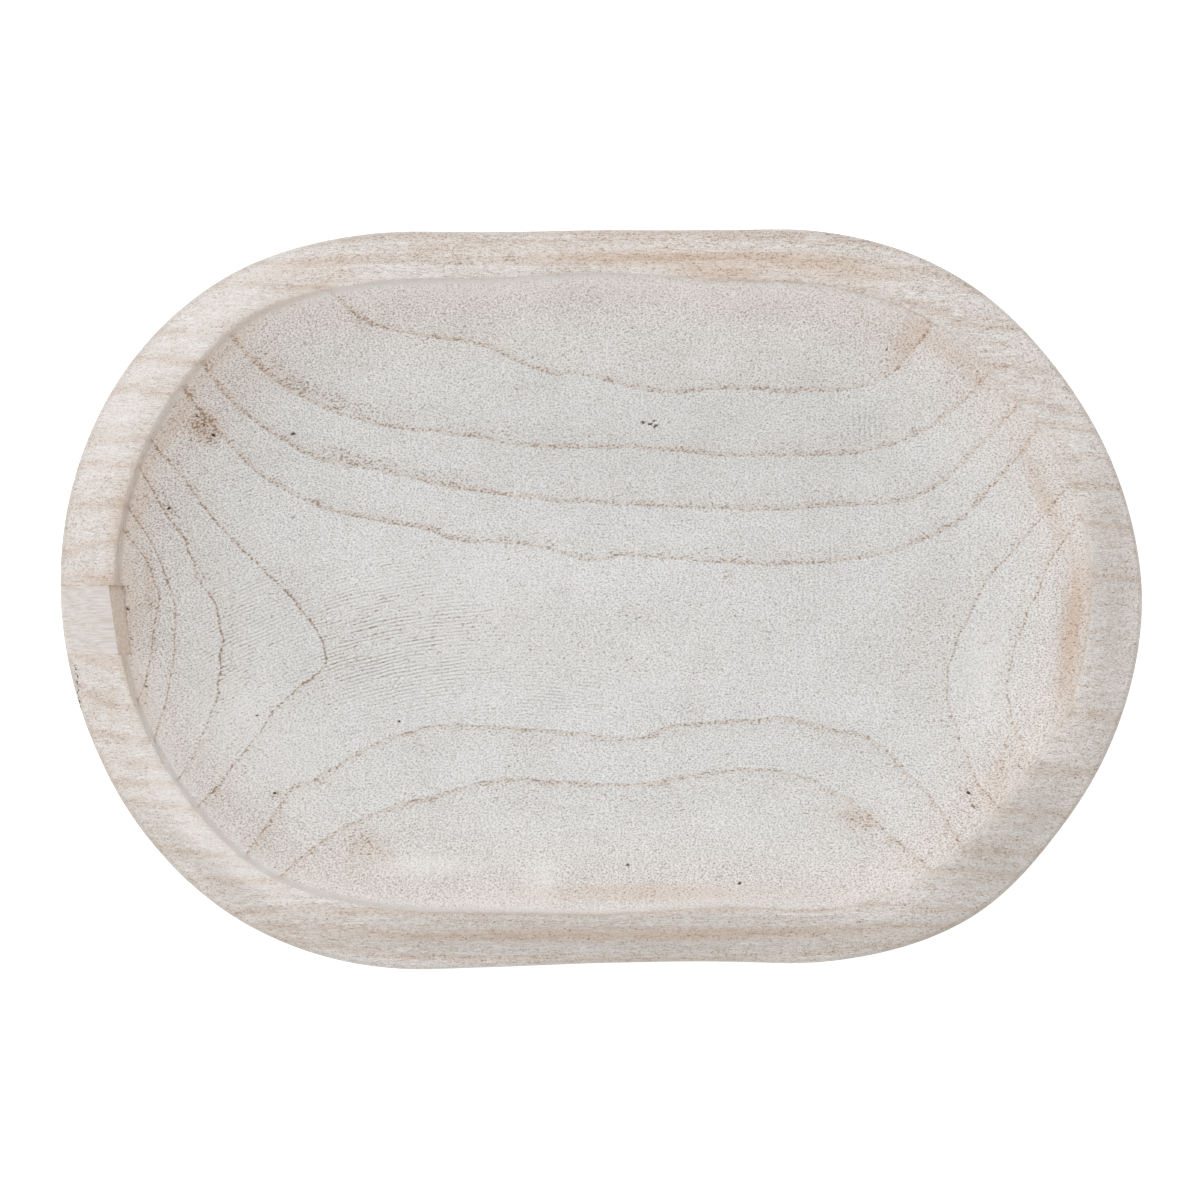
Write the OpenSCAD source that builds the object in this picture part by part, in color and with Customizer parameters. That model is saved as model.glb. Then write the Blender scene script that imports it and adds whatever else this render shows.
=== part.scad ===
// Hand-carved wooden dough bowl: one hollowed block of pale wood, with a small block let into
// the rim at its left-hand end and glued there. Millimetres, +Z up, origin at the middle of the
// flat foot, +X along the grain towards the right-hand end.

/* [Bowl] */
// Length over the rim, from end to end
bowl_length = 500; // [420:5:600]
// Width over the rim, from side to side
bowl_width = 341; // [280:1:380]
// Height of the rim's inner edge above the table
bowl_height = 88; // [70:1:120]
// Thickness of the floor at its lowest point
floor_thickness = 22; // [14:1:30]

/* [Rim] */
// Mean width of the rim's top face
rim_width = 24; // [18:0.5:30]
// How far the rim falls from its inner edge to its outer edge
rim_fall = 4; // [1:0.5:8]
// Radius of the rim's eased outer edge
outer_edge_radius = 2.5; // [1:0.25:5]
// Radius of the rim's eased inner edge
inner_edge_radius = 1.5; // [0.5:0.25:3]

/* [Outer wall] */
// How far the wall leans in between the rim's outer edge and the table
wall_rake = 38; // [20:1:50]
// How far the middle of the wall bellies out past a straight line
wall_belly = 4; // [0:0.5:8]
// Radius of the rounded edge round the foot
foot_radius = 16; // [6:1:24]

/* [Hollow] */
// Depth of the steep lip just inside the rim
lip_depth = 16; // [8:1:26]
// Distance over which the steep lip dies away
lip_run = 4; // [2:0.5:8]
// Distance over which the hollow sweeps down to the floor at the left-hand end
sweep_left = 36; // [24:1:46]
// Distance over which the hollow sweeps down to the floor at the right-hand end
sweep_right = 28; // [20:1:46]
// Radius of the flat middle of the floor
flat_radius = 24; // [10:1:40]

/* [Rim patch] */
// Length of the let-in block along the rim
patch_length = 31.5; // [20:0.5:44]
// Depth of the let-in block below the rim
patch_depth = 16; // [10:1:24]
// Place of the let-in block's middle, towards the back from the bowl's long middle line
patch_place = -10; // [-20:0.5:20]
// How far the let-in block's inner face stands back from the rim's inner edge
patch_setback = 1.5; // [0.5:0.25:4]
// How far the let-in block's inner face is turned, in degrees, to follow the rim
patch_turn = 8; // [0:0.5:12]
// How far the let-in block's inner face leans out towards its foot, in degrees
patch_lean = 16; // [0:1:20]

/* [Glue line] */
// Thickness of the glue between the block and its housing
glue_thickness = 0.4; // [0.2:0.1:0.8]

/* [Hidden] */

// Number of stations round the bowl, a multiple of the number of shares below
stations = 120;
// Number of steps up the outer wall, across the rim's face and down the hollow
wall_steps = 6;
rim_steps = 4;
hollow_steps = 14;
// Number of steps round an eased edge
edge_steps = 3;
// Number of steps round the foot's edge
foot_steps = 5;
// How much closer the rows of the hollow lie near the rim than near the floor
hollow_crowding = 1.8;
// Overrun of the cuts past the faces that they open
overrun = 10;

// How far the hand-cut edge stands outside a true stadium, as a share of the rim's width, at
// equal steps counter-clockwise from the right-hand end
edge_shares = [0.015, -0.055, -0.06, 0.05, 0.035, 0, 0, -0.04, 0.035, 0.215, 0.235, 0.12,
               0, -0.06, 0, 0.09, 0.07, 0.01, -0.08, -0.11, -0.01, 0.13, 0, -0.015];
// Width of the rim's top face at the same places, as a share of its mean width
rim_shares = [1.00, 0.86, 0.99, 1.00, 1.04, 0.98, 0.84, 0.90, 0.95, 0.89, 1.05, 1.08,
              1.07, 1.04, 1.06, 1.03, 1.14, 1.06, 0.92, 1.04, 0.97, 1.14, 1.15, 1.02];

half_width = bowl_width / 2;
// Half length of the straight stretch of each side
straight_half = (bowl_length - bowl_width) / 2;
quarter_turn = 90;
end_quarter = half_width * PI / 2;
perimeter = 4 * (straight_half + end_quarter);
hollow_depth = bowl_height - floor_thickness;
lip_share = lip_depth / hollow_depth;
rim_outer_z = bowl_height - rim_fall;
// The let-in block's place round the bowl, from 0 to 1
patch_heading = 2 * quarter_turn + asin(-patch_place / half_width);
patch_t = (patch_heading / quarter_turn * end_quarter + 2 * straight_half) / perimeter;
wall_top_z = rim_outer_z - outer_edge_radius;
// How far the foot's rounded edge turns before it meets the wall, and how high it reaches there
foot_turn = atan2(wall_top_z, wall_rake + 4 * wall_belly);
foot_top_z = foot_radius * (1 - cos(foot_turn));

// A value between the shares of a table, smoothly joined, at t from 0 to 1 round the bowl
function smooth_share(shares, t) =
    let (n = len(shares), p = t * n, i = floor(p), f = p - i,
         a = shares[(i + n - 1) % n], b = shares[i % n], c = shares[(i + 1) % n], d = shares[(i + 2) % n])
    b + f * ((c - a) + f * ((2 * a - 5 * b + 4 * c - d) + f * (3 * (b - c) + d - a))) / 2;

// The stadium's outward direction, in degrees, at arc length s from the right-hand end
function heading(s) =
    s < end_quarter ? s / end_quarter * quarter_turn
    : s < end_quarter + 2 * straight_half ? quarter_turn
    : s < 3 * end_quarter + 2 * straight_half
        ? (s - 2 * straight_half) / end_quarter * quarter_turn
    : s < 3 * end_quarter + 4 * straight_half ? 3 * quarter_turn
    : (s - 4 * straight_half) / end_quarter * quarter_turn;

// The place along the middle line that the stadium's edge is drawn from, at arc length s
function spine(s) =
    s < end_quarter ? straight_half
    : s < end_quarter + 2 * straight_half ? straight_half - (s - end_quarter)
    : s < 3 * end_quarter + 2 * straight_half ? -straight_half
    : s < 3 * end_quarter + 4 * straight_half
        ? -straight_half + (s - 3 * end_quarter - 2 * straight_half)
    : straight_half;

// A point at the given inset from the hand-cut edge and the given height, at t round the bowl
function edge_point(t, inset, z) =
    let (s = t * perimeter, a = heading(s),
         r = half_width + rim_width * smooth_share(edge_shares, t) - inset)
    [spine(s) + r * cos(a), r * sin(a), z];

function rim_at(t) = rim_width * smooth_share(rim_shares, t);

// The sweep of the hollow at t round the bowl, from the right-hand value to the left-hand one
function sweep_at(t) =
    let (s = t * perimeter, along = (spine(s) + half_width * cos(heading(s))) / (bowl_length / 2))
    (sweep_right + sweep_left) / 2 + along * (sweep_right - sweep_left) / 2;

// How much of the hollow's depth is left at distance d in from the rim, before it is levelled
function fall(d, sweep) = lip_share * exp(-d / lip_run) + (1 - lip_share) * exp(-d / sweep);

// A point of the hollow at share q of the way from the rim's inner edge to the flat middle
function hollow_point(t, q) =
    let (reach = half_width + rim_width * smooth_share(edge_shares, t) - flat_radius - rim_at(t),
         d = reach * pow(q, hollow_crowding), sweep = sweep_at(t), last = fall(reach, sweep),
         share = (fall(d, sweep) - last) / (1 - last))
    edge_point(t, rim_at(t) + d, floor_thickness + (hollow_depth - inner_edge_radius) * share);

// How far the outer wall stands in from the rim's edge at height z
function wall_inset(z) = let (v = z / wall_top_z) wall_rake * (1 - v) - 4 * wall_belly * v * (1 - v);

// A point of the outer wall at share v of the way up from the foot's edge
function wall_point(t, v) =
    let (z = foot_top_z + v * (wall_top_z - foot_top_z))
    edge_point(t, wall_inset(z), z);

// A point of the foot's rounded edge, turned by angle a from the flat foot
function foot_point(t, a) =
    edge_point(t, wall_inset(foot_top_z) + foot_radius * (sin(foot_turn) - sin(a)),
               foot_radius * (1 - cos(a)));

// One row of points for each step, from the foot up the outside, over the rim and down the hollow
rows = concat(
    [for (k = [0 : foot_steps - 1])
        [for (i = [0 : stations - 1]) foot_point(i / stations, foot_turn * k / foot_steps)]],
    [for (k = [0 : wall_steps])
        [for (i = [0 : stations - 1]) wall_point(i / stations, k / wall_steps)]],
    [for (k = [1 : edge_steps]) let (a = quarter_turn * k / edge_steps)
        [for (i = [0 : stations - 1])
            edge_point(i / stations, outer_edge_radius * (1 - cos(a)),
                       rim_outer_z - outer_edge_radius * (1 - sin(a)))]],
    [for (k = [1 : rim_steps]) let (q = k / rim_steps)
        [for (i = [0 : stations - 1]) let (face = rim_at(i / stations) - outer_edge_radius - inner_edge_radius)
            edge_point(i / stations, outer_edge_radius + face * q,
                       rim_outer_z + rim_fall * sin(quarter_turn * q))]],
    [for (k = [1 : edge_steps - 1]) let (a = quarter_turn * k / edge_steps)
        [for (i = [0 : stations - 1])
            edge_point(i / stations, rim_at(i / stations) - inner_edge_radius * (1 - sin(a)),
                       bowl_height - inner_edge_radius * (1 - cos(a)))]],
    [for (k = [0 : hollow_steps])
        [for (i = [0 : stations - 1]) hollow_point(i / stations, k / hollow_steps)]]);

row_count = len(rows);

// The whole carved bowl, as if it were cut from one block with nothing let in
module carved_bowl() {
    polyhedron(
        points = [for (row = rows) for (p = row) p],
        faces = concat(
            [[for (i = [0 : stations - 1]) i]],
            [for (k = [0 : row_count - 2]) for (i = [0 : stations - 1])
                let (a = k * stations + i, b = k * stations + (i + 1) % stations)
                [a, a + stations, b]],
            [for (k = [0 : row_count - 2]) for (i = [0 : stations - 1])
                let (a = k * stations + i, b = k * stations + (i + 1) % stations)
                [b, a + stations, b + stations]],
            [[for (i = [stations - 1 : -1 : 0]) (row_count - 1) * stations + i]]));
}

// The room that the let-in block takes, grown by the given amount at its sides and bottom
module housing(growth) {
    translate([-bowl_length / 2 - overrun, patch_place - patch_length / 2 - growth,
               bowl_height - patch_depth - growth])
        cube([rim_width + wall_rake + overrun, patch_length + 2 * growth,
              patch_depth + growth + overrun]);
}

// The room on the outer side of the let-in block's inner face
module outside_block_face() {
    room = bowl_height + overrun;
    translate(edge_point(patch_t, rim_at(patch_t) - patch_setback, bowl_height))
        rotate([0, -patch_lean, patch_turn])
            translate([-room, -room / 2, -room])
                cube([room, room, 2 * room]);
}

module bowl_body() {
    color("#DAD5CE")
        difference() {
            carved_bowl();
            housing(glue_thickness);
        }
}

module rim_patch() {
    color("#E0DBD6")
        intersection() {
            carved_bowl();
            housing(0);
            outside_block_face();
        }
}

module glue_line() {
    color("#C2AC98")
        difference() {
            intersection() {
                carved_bowl();
                housing(glue_thickness);
                outside_block_face();
            }
            housing(0);
        }
}

bowl_body();
rim_patch();
glue_line();
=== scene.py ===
"""Dresses the carved wooden bowl: a limed paulownia dough bowl with a block let into its rim.

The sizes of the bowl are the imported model's, in millimetres. A node tree sweeps its section round the
hand-cut edge, the let-in block and its glue are cut from that same form, and the growth rings of the
log are followed from the lines that the photograph shows.
"""

import logging
import math

from dataclasses import dataclass, field
from enum import Enum
from types import SimpleNamespace
from typing import Any

import bmesh
import bpy
import numpy as np
from mathutils import Matrix, Vector
from mathutils.kdtree import KDTree


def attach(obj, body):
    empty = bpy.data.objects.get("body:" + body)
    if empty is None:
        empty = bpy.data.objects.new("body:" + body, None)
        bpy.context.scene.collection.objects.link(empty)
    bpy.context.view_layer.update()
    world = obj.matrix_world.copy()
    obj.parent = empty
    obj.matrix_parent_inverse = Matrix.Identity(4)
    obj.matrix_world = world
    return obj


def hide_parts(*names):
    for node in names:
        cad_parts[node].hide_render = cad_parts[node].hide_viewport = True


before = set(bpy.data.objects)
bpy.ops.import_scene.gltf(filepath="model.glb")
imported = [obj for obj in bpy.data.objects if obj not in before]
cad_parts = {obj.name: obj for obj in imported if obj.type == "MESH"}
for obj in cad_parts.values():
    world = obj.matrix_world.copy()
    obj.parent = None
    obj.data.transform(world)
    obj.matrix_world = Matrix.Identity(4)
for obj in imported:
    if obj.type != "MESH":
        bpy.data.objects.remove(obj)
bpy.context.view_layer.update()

log = logging.getLogger("bowl")

MM = 0.001
# Far more than the bowl's height, in mm, for what has no height of its own
FAR = 1000.0
# The bowl's middle and its length in the photograph, in pixels of its 1200 by 1200 frame
PHOTO_MIDDLE = (601.0, 598.5)
PHOTO_BOWL_LENGTH = 1082.0
# How far the camera stood above the table, and how high the rim's outer edge is, in mm
CAMERA_HEIGHT = 3000.0
RIM_HEIGHT = 84.0
# What a layer is where it is whole and where it has faded away
FADE = (1.0, 0.0)


class Section(Enum):
    """The stretches of the bowl's section, from the middle of the foot to the middle of the floor."""

    FOOT = 0
    FOOT_EDGE = 1
    WALL = 2
    OUTER_EDGE = 3
    RIM_FACE = 4
    INNER_EDGE = 5
    HOLLOW = 6


@dataclass(frozen=True)
class Term:
    """One output of a node, which can be reckoned with as if it were a number."""

    socket: bpy.types.NodeSocket

    @property
    def tree(self) -> bpy.types.NodeTree:
        """The tree that the node is in."""
        return self.socket.id_data

    def all(self) -> list["Term"]:
        """Gives every output of the same node."""
        return [Term(socket) for socket in self.socket.node.outputs]

    def math(self, operation: str, *values: Any, clamp: bool = False) -> "Term":
        """Works something out from this value.

        Args:
            operation: What to work out.
            values: The other values that it takes.
            clamp: Whether the result is kept from zero to one.

        Returns:
            The result.
        """
        return add(self.tree, "ShaderNodeMath", self, *values, operation=operation, use_clamp=clamp)

    def read(self, levels: tuple[Any, Any], values: tuple[Any, Any] = (0.0, 1.0),
             kind: str = "LINEAR") -> "Term":
        """Maps this value from two of its levels to two others, and no further.

        Args:
            levels: The two levels.
            values: What comes out at each.
            kind: How it runs in between.

        Returns:
            The mapped value.
        """
        return add(self.tree, "ShaderNodeMapRange", self, *levels, *values, interpolation_type=kind)

    def mix(self, first: Any, second: Any) -> "Term":
        """Mixes two colours.

        Args:
            first: The colour where this value is zero, as a term or a hex colour.
            second: The colour where it is one.

        Returns:
            The mixed colour.
        """
        colours = [linear(colour) if isinstance(colour, str) else colour for colour in (first, second)]
        return add(self.tree, "ShaderNodeMix", self, named={6: colours[0], 7: colours[1]}, out=2,
                   data_type="RGBA")

    def __add__(self, other: Any) -> "Term":
        """Adds another value."""
        return self.math("ADD", other)

    def __mul__(self, other: Any) -> "Term":
        """Multiplies by another value."""
        return self.math("MULTIPLY", other)

    def __sub__(self, other: Any) -> "Term":
        """Takes another value away."""
        return self.math("SUBTRACT", other)

    def __rsub__(self, other: Any) -> "Term":
        """Is taken away from another value."""
        return add(self.tree, "ShaderNodeMath", other, self, operation="SUBTRACT")

    def __truediv__(self, other: Any) -> "Term":
        """Divides by another value."""
        return self.math("DIVIDE", other)

    def __rtruediv__(self, other: Any) -> "Term":
        """Divides another value."""
        return add(self.tree, "ShaderNodeMath", other, self, operation="DIVIDE")

    __radd__ = __add__
    __rmul__ = __mul__


def add(tree: bpy.types.NodeTree, kind: str, *values: Any, out: int = 0, named: dict | None = None,
        **settings: Any) -> Term | None:
    """Adds a node with its settings and links.

    Args:
        tree: The tree that the node goes into.
        kind: The node's type name.
        values: For each input in order, a term to link, a constant, or None to leave it alone.
        out: Which output to return.
        named: More inputs, by name or number.
        settings: The node's own properties.

    Returns:
        The chosen output, or nothing where the node has no outputs.
    """
    node = tree.nodes.new(kind)
    for key, value in settings.items():
        setattr(node, key, value)
    for key, value in [*enumerate(values), *(named or {}).items()]:
        give(node.inputs[key], value)
    return Term(node.outputs[out]) if len(node.outputs) else None


def give(socket: bpy.types.NodeSocket, value: Any) -> None:
    """Gives an input its value.

    Args:
        socket: The input.
        value: A term to link, a constant, or None to leave it alone.
    """
    if isinstance(value, Term):
        value.tree.links.new(value.socket, socket)
    elif value is not None:
        socket.default_value = value


def linear(code: str) -> tuple[float, float, float, float]:
    """Turns an sRGB hex colour to linear light.

    Args:
        code: A colour such as "#D9D7D4".

    Returns:
        The linear red, green and blue, and an alpha of one.
    """
    shares = [int(code[i:i + 2], 16) / 255 for i in (1, 3, 5)]
    bent = [c / 12.92 if c <= 0.04045 else ((c + 0.055) / 1.055) ** 2.4 for c in shares]
    return (bent[0], bent[1], bent[2], 1.0)


def photo_scale(height: Any) -> Any:
    """Works out how much a pixel of the photograph spans.

    Args:
        height: How high the surface is, in mm.

    Returns:
        The size of a pixel there, in mm.
    """
    return BowlForm.length / PHOTO_BOWL_LENGTH * (CAMERA_HEIGHT - height) / (CAMERA_HEIGHT - RIM_HEIGHT)


def on_bowl(pixel: tuple[float, float], height: float = RIM_HEIGHT) -> tuple[float, float]:
    """Finds the place on the bowl that a pixel of the photograph shows.

    Args:
        pixel: Its place across and down.
        height: How high the surface is there, in mm.

    Returns:
        Its place in the bowl's frame, in mm.
    """
    scale = photo_scale(height)
    return ((pixel[0] - PHOTO_MIDDLE[0]) * scale, (PHOTO_MIDDLE[1] - pixel[1]) * scale)


def curve(a: Any, b: Any, c: Any, d: Any, f: Any) -> Any:
    """Gives a smooth curve's value on the stretch between the middle two of four values.

    Args:
        a: The value before the stretch.
        b: The value at its start.
        c: The value at its end.
        d: The value after it.
        f: How far along the stretch to go, from 0 to 1.

    Returns:
        The curve's value there.
    """
    return b + f * ((c - a) + f * ((2 * a - 5 * b + 4 * c - d) + f * (3 * (b - c) + d - a))) / 2


def smooth_share(shares: tuple[float, ...], t: np.ndarray) -> np.ndarray:
    """Joins a ring of shares smoothly.

    Args:
        shares: Values at equal steps round the bowl.
        t: Places round the bowl, from 0 to 1.

    Returns:
        The value at each place.
    """
    place = t * len(shares)
    first = np.floor(place).astype(int)
    near = [np.array(shares)[(first + k) % len(shares)] for k in (-1, 0, 1, 2)]
    return curve(*near, place - first)


def through(points: list[tuple[float, float]], step: float) -> np.ndarray:
    """Draws a smooth line through some points.

    Args:
        points: The points, at least two.
        step: About how far apart the line's own points are.

    Returns:
        Points along the line.
    """
    p = np.array([points[0], *points, points[-1]], float)
    made = []
    for i in range(1, len(p) - 2):
        count = max(1, round(float(np.linalg.norm(p[i + 1] - p[i])) / step))
        made += [curve(*p[i - 1:i + 3], f) for f in np.arange(count) / count]
    return np.array([*made, p[-1]])


def finder(places: np.ndarray) -> KDTree:
    """Sorts some places so that the one nearest to another can be found.

    Args:
        places: The places.

    Returns:
        The sorted places, which give a place's number.
    """
    tree = KDTree(len(places))
    for i, place in enumerate(places):
        tree.insert(place, i)
    tree.balance()
    return tree


@dataclass
class BowlForm:
    """The bowl's sizes, in mm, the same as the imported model's, and the mesh that they give."""

    length: float = 500.0
    width: float = 341.0
    height: float = 88.0
    floor: float = 22.0
    rim_width: float = 24.0
    rim_fall: float = 4.0
    outer_edge: float = 2.5
    inner_edge: float = 1.5
    wall_rake: float = 38.0
    wall_belly: float = 4.0
    foot_radius: float = 16.0
    lip_depth: float = 16.0
    lip_run: float = 4.0
    sweep_left: float = 36.0
    sweep_right: float = 28.0
    flat_radius: float = 24.0
    patch_length: float = 31.5
    patch_depth: float = 16.0
    patch_place: float = -10.0
    patch_setback: float = 1.5
    patch_turn: float = 8.0
    patch_lean: float = 16.0
    glue: float = 0.4
    # The carving marks: how deep and how long the gouge's cuts and the knife's wanderings are
    gouge_depth: float = 1.1
    gouge_length: float = 26.0
    knife_depth: float = 0.9
    knife_length: float = 70.0
    seed: float = 7.0
    # How much closer the rows of the hollow lie near the rim, and how soon its gouge cuts start
    crowding: float = 1.5
    gouge_start: float = 8.0
    # How near two points are that become one, and how far a cut runs past the faces that it opens
    merge: float = 0.02
    overrun: float = 10.0
    # The turn, in degrees, from which an edge between two faces is crisp
    crisp: float = 35.0
    stations: int = 640
    rows: tuple[tuple[Section, int], ...] = (
        (Section.FOOT, 16),
        (Section.FOOT_EDGE, 5),
        (Section.WALL, 14),
        (Section.OUTER_EDGE, 4),
        (Section.RIM_FACE, 12),
        (Section.INNER_EDGE, 3),
        (Section.HOLLOW, 82),
    )
    # How far the edge stands outside a true stadium, and how wide the rim is, as shares of the rim's
    # mean width, at equal steps counter-clockwise from the right-hand end
    edge_shares: tuple[float, ...] = (
        0.015, -0.055, -0.06, 0.05, 0.035, 0, 0, -0.04, 0.035, 0.215, 0.235, 0.12,
        0, -0.06, 0, 0.09, 0.07, 0.01, -0.08, -0.11, -0.01, 0.13, 0, -0.015)
    rim_shares: tuple[float, ...] = (
        1.00, 0.86, 0.99, 1.00, 1.04, 0.98, 0.84, 0.90, 0.95, 0.89, 1.05, 1.08,
        1.07, 1.04, 1.06, 1.03, 1.14, 1.06, 0.92, 1.04, 0.97, 1.14, 1.15, 1.02)

    @property
    def half_width(self) -> float:
        """Half the bowl's width."""
        return self.width / 2

    @property
    def straight_half(self) -> float:
        """Half the length of the straight stretch of each side."""
        return (self.length - self.width) / 2

    def round_bowl(self) -> dict[str, np.ndarray]:
        """Works out what each station round the bowl needs.

        Returns:
            The outward direction, the place along the middle line that the edge is drawn from, the
            hand-cut edge's swell, the rim's width and the hollow's sweep, in mm.
        """
        t = np.arange(self.stations) / self.stations
        quarter = self.half_width * math.pi / 2
        straight = 2 * self.straight_half
        s = t * 4 * (self.straight_half + quarter)
        ends = [quarter, quarter + straight, 3 * quarter + straight, 3 * quarter + 2 * straight]
        where = np.searchsorted(ends, s, side="right")
        turned = [s, np.full_like(s, quarter), s - straight, np.full_like(s, 3 * quarter), s - 2 * straight]
        heading = np.choose(where, turned) / quarter * math.pi / 2
        half = self.straight_half
        spine = np.choose(where, [np.full_like(s, half), half - (s - ends[0]), np.full_like(s, -half),
                                  s - ends[2] - half, np.full_like(s, half)])
        along = (spine + self.half_width * np.cos(heading)) / (self.length / 2)
        middle = (self.sweep_right + self.sweep_left) / 2
        return {
            "outward": np.stack([np.cos(heading), np.sin(heading), np.zeros_like(s)], axis=1),
            "spine": spine,
            "swell": self.rim_width * smooth_share(self.edge_shares, t),
            "rim": self.rim_width * smooth_share(self.rim_shares, t),
            "sweep": middle + along * (self.sweep_right - self.sweep_left) / 2,
        }

    def blank(self) -> bpy.types.Object:
        """Makes the unshaped mesh: rows of points that know their station and their place in the section.

        Returns:
            An object whose points carry the stations' values, their section and their share of it.
        """
        sections: list[int] = []
        shares: list[float] = []
        for part, count in self.rows:
            last = part is Section.HOLLOW
            sections += [part.value] * (count + last)
            shares += [k / count for k in range(count + last)]
        n, high = self.stations, len(sections)
        grid = np.arange(n * high).reshape(high, n)
        right = np.roll(grid, -1, axis=1)
        faces = np.stack([grid[:-1], right[:-1], right[1:], grid[1:]], axis=2).reshape(-1, 4)
        mesh = bpy.data.meshes.new("bowl_blank")
        mesh.from_pydata(np.zeros((n * high, 3)).tolist(), [], faces.tolist())
        for name, values in self.round_bowl().items():
            if values.ndim == 1:
                layer = mesh.attributes.new(name, "FLOAT", "POINT")
                layer.data.foreach_set("value", np.tile(values * MM, high))
            else:
                layer = mesh.attributes.new(name, "FLOAT_VECTOR", "POINT")
                layer.data.foreach_set("vector", np.tile(values, (high, 1)).ravel())
        mesh.attributes.new("section", "INT", "POINT").data.foreach_set("value", np.repeat(sections, n))
        mesh.attributes.new("share", "FLOAT", "POINT").data.foreach_set("value", np.repeat(shares, n))
        return bpy.data.objects.new("bowl_form", mesh)

    def tree(self) -> bpy.types.NodeTree:
        """Builds the node tree that gives the blank its shape and its carving marks.

        Returns:
            The geometry tree, with a named input for each size.
        """
        tree = bpy.data.node_groups.new("carved_bowl_form", "GeometryNodeTree")
        tree.interface.new_socket("Geometry", in_out="OUTPUT", socket_type="NodeSocketGeometry")
        kinds = {"Geometry": "Geometry", **dict.fromkeys(self.tree_sizes(), "Float"), "Seed": "Float",
                 "Material": "Material"}
        for name, kind in kinds.items():
            tree.interface.new_socket(name, in_out="INPUT", socket_type="NodeSocket" + kind)
        outputs = tree.nodes.new("NodeGroupInput").outputs
        size = SimpleNamespace(**{name.lower().replace(" ", "_"): Term(outputs[name]) for name in kinds})
        known = {**dict.fromkeys(("spine", "swell", "rim", "sweep", "share"), "FLOAT"), "section": "INT",
                 "outward": "FLOAT_VECTOR"}
        at = SimpleNamespace(**{
            name: add(tree, "GeometryNodeInputNamedAttribute", name, data_type=kind)
            for name, kind in known.items()})
        at.reach = size.half_width + at.swell
        inset, height = self.section_places(size, at)
        outwards = add(tree, "ShaderNodeVectorMath", at.outward, operation="SCALE",
                       named={"Scale": at.reach - inset})
        base = add(tree, "ShaderNodeCombineXYZ", at.spine, 0.0, height)
        place = add(tree, "ShaderNodeVectorMath", outwards, base, operation="ADD")
        loose = add(tree, "GeometryNodeSetPosition", size.geometry, None, place)
        shaped = add(tree, "GeometryNodeMergeByDistance", loose, named={"Distance": self.merge * MM})
        push = add(tree, "ShaderNodeVectorMath", add(tree, "GeometryNodeInputNormal"), operation="SCALE",
                   named={"Scale": self.carving_mark(size, at)})
        carved = add(tree, "GeometryNodeSetPosition", shaped, None, None, push)
        smooth = add(tree, "GeometryNodeSetShadeSmooth", carved)
        real = add(tree, "GeometryNodeRealizeInstances", smooth)
        dressed = add(tree, "GeometryNodeSetMaterial", real, None, size.material)
        add(tree, "NodeGroupOutput", dressed)
        return tree

    def section_places(self, size: SimpleNamespace, at: SimpleNamespace) -> tuple[Term, Term]:
        """Works out where each point of the section lies.

        Args:
            size: The tree's sizes.
            at: What each point knows of its station and its place in the section.

        Returns:
            How far the point stands in from the hand-cut edge, and its height.
        """
        quarter = at.share * (math.pi / 2)
        sine, cosine = quarter.math("SINE"), quarter.math("COSINE")

        # The outer wall, and the foot's rounded edge that it grows out of
        rim_outer = size.height - size.rim_fall
        wall_top = rim_outer - size.outer_edge
        foot_turn = wall_top.math("ARCTAN2", size.wall_belly * 4.0 + size.wall_rake)
        foot_top = size.foot_radius * (1.0 - foot_turn.math("COSINE"))
        wall_z = at.share * (wall_top - foot_top) + foot_top
        insets = []
        for height in (foot_top, wall_z):
            up = height / wall_top
            insets.append((size.wall_belly * -4.0 * up + size.wall_rake) * (1.0 - up))
        foot_in = size.foot_radius * foot_turn.math("SINE") + insets[0]
        edge_turn = at.share * foot_turn
        edge_inset = foot_in - edge_turn.math("SINE") * size.foot_radius
        edge_z = size.foot_radius * (1.0 - edge_turn.math("COSINE"))

        # The rim: its eased outer edge, its sloping face and its eased inner edge
        outer_z = rim_outer - size.outer_edge * (1.0 - sine)
        face = at.rim - (size.outer_edge + size.inner_edge)
        inner_inset = at.rim - size.inner_edge * (1.0 - sine)
        inner_z = size.height - size.inner_edge * (1.0 - cosine)

        # The hollow: a steep lip that dies away into a long sweep, levelled at the flat middle
        whole = at.reach - at.rim
        distance = whole * at.share.math("POWER", self.crowding)
        depth = size.height - size.floor
        lip = size.lip_depth / depth
        falls = []
        for gone in (distance, whole - size.flat_radius):
            lip_left = (gone / size.lip_run * -1.0).math("EXPONENT")
            sweep_left = (gone / at.sweep * -1.0).math("EXPONENT")
            falls.append(lip_left * lip + sweep_left * (1.0 - lip))
        left = (falls[0] - falls[1]).math("DIVIDE", 1.0 - falls[1], clamp=True)

        places = {
            Section.FOOT: (at.share * (foot_in - at.reach) + at.reach, 0.0),
            Section.FOOT_EDGE: (edge_inset, edge_z),
            Section.WALL: (insets[1], wall_z),
            Section.OUTER_EDGE: (size.outer_edge * (1.0 - cosine), outer_z),
            Section.RIM_FACE: (face * at.share + size.outer_edge, size.rim_fall * sine + rim_outer),
            Section.INNER_EDGE: (inner_inset, inner_z),
            Section.HOLLOW: (at.rim + distance, left * (depth - size.inner_edge) + size.floor),
        }
        insets, heights = zip(*(places[section] for section in Section))
        return self.by_section(at.section, insets), self.by_section(at.section, heights)

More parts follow.
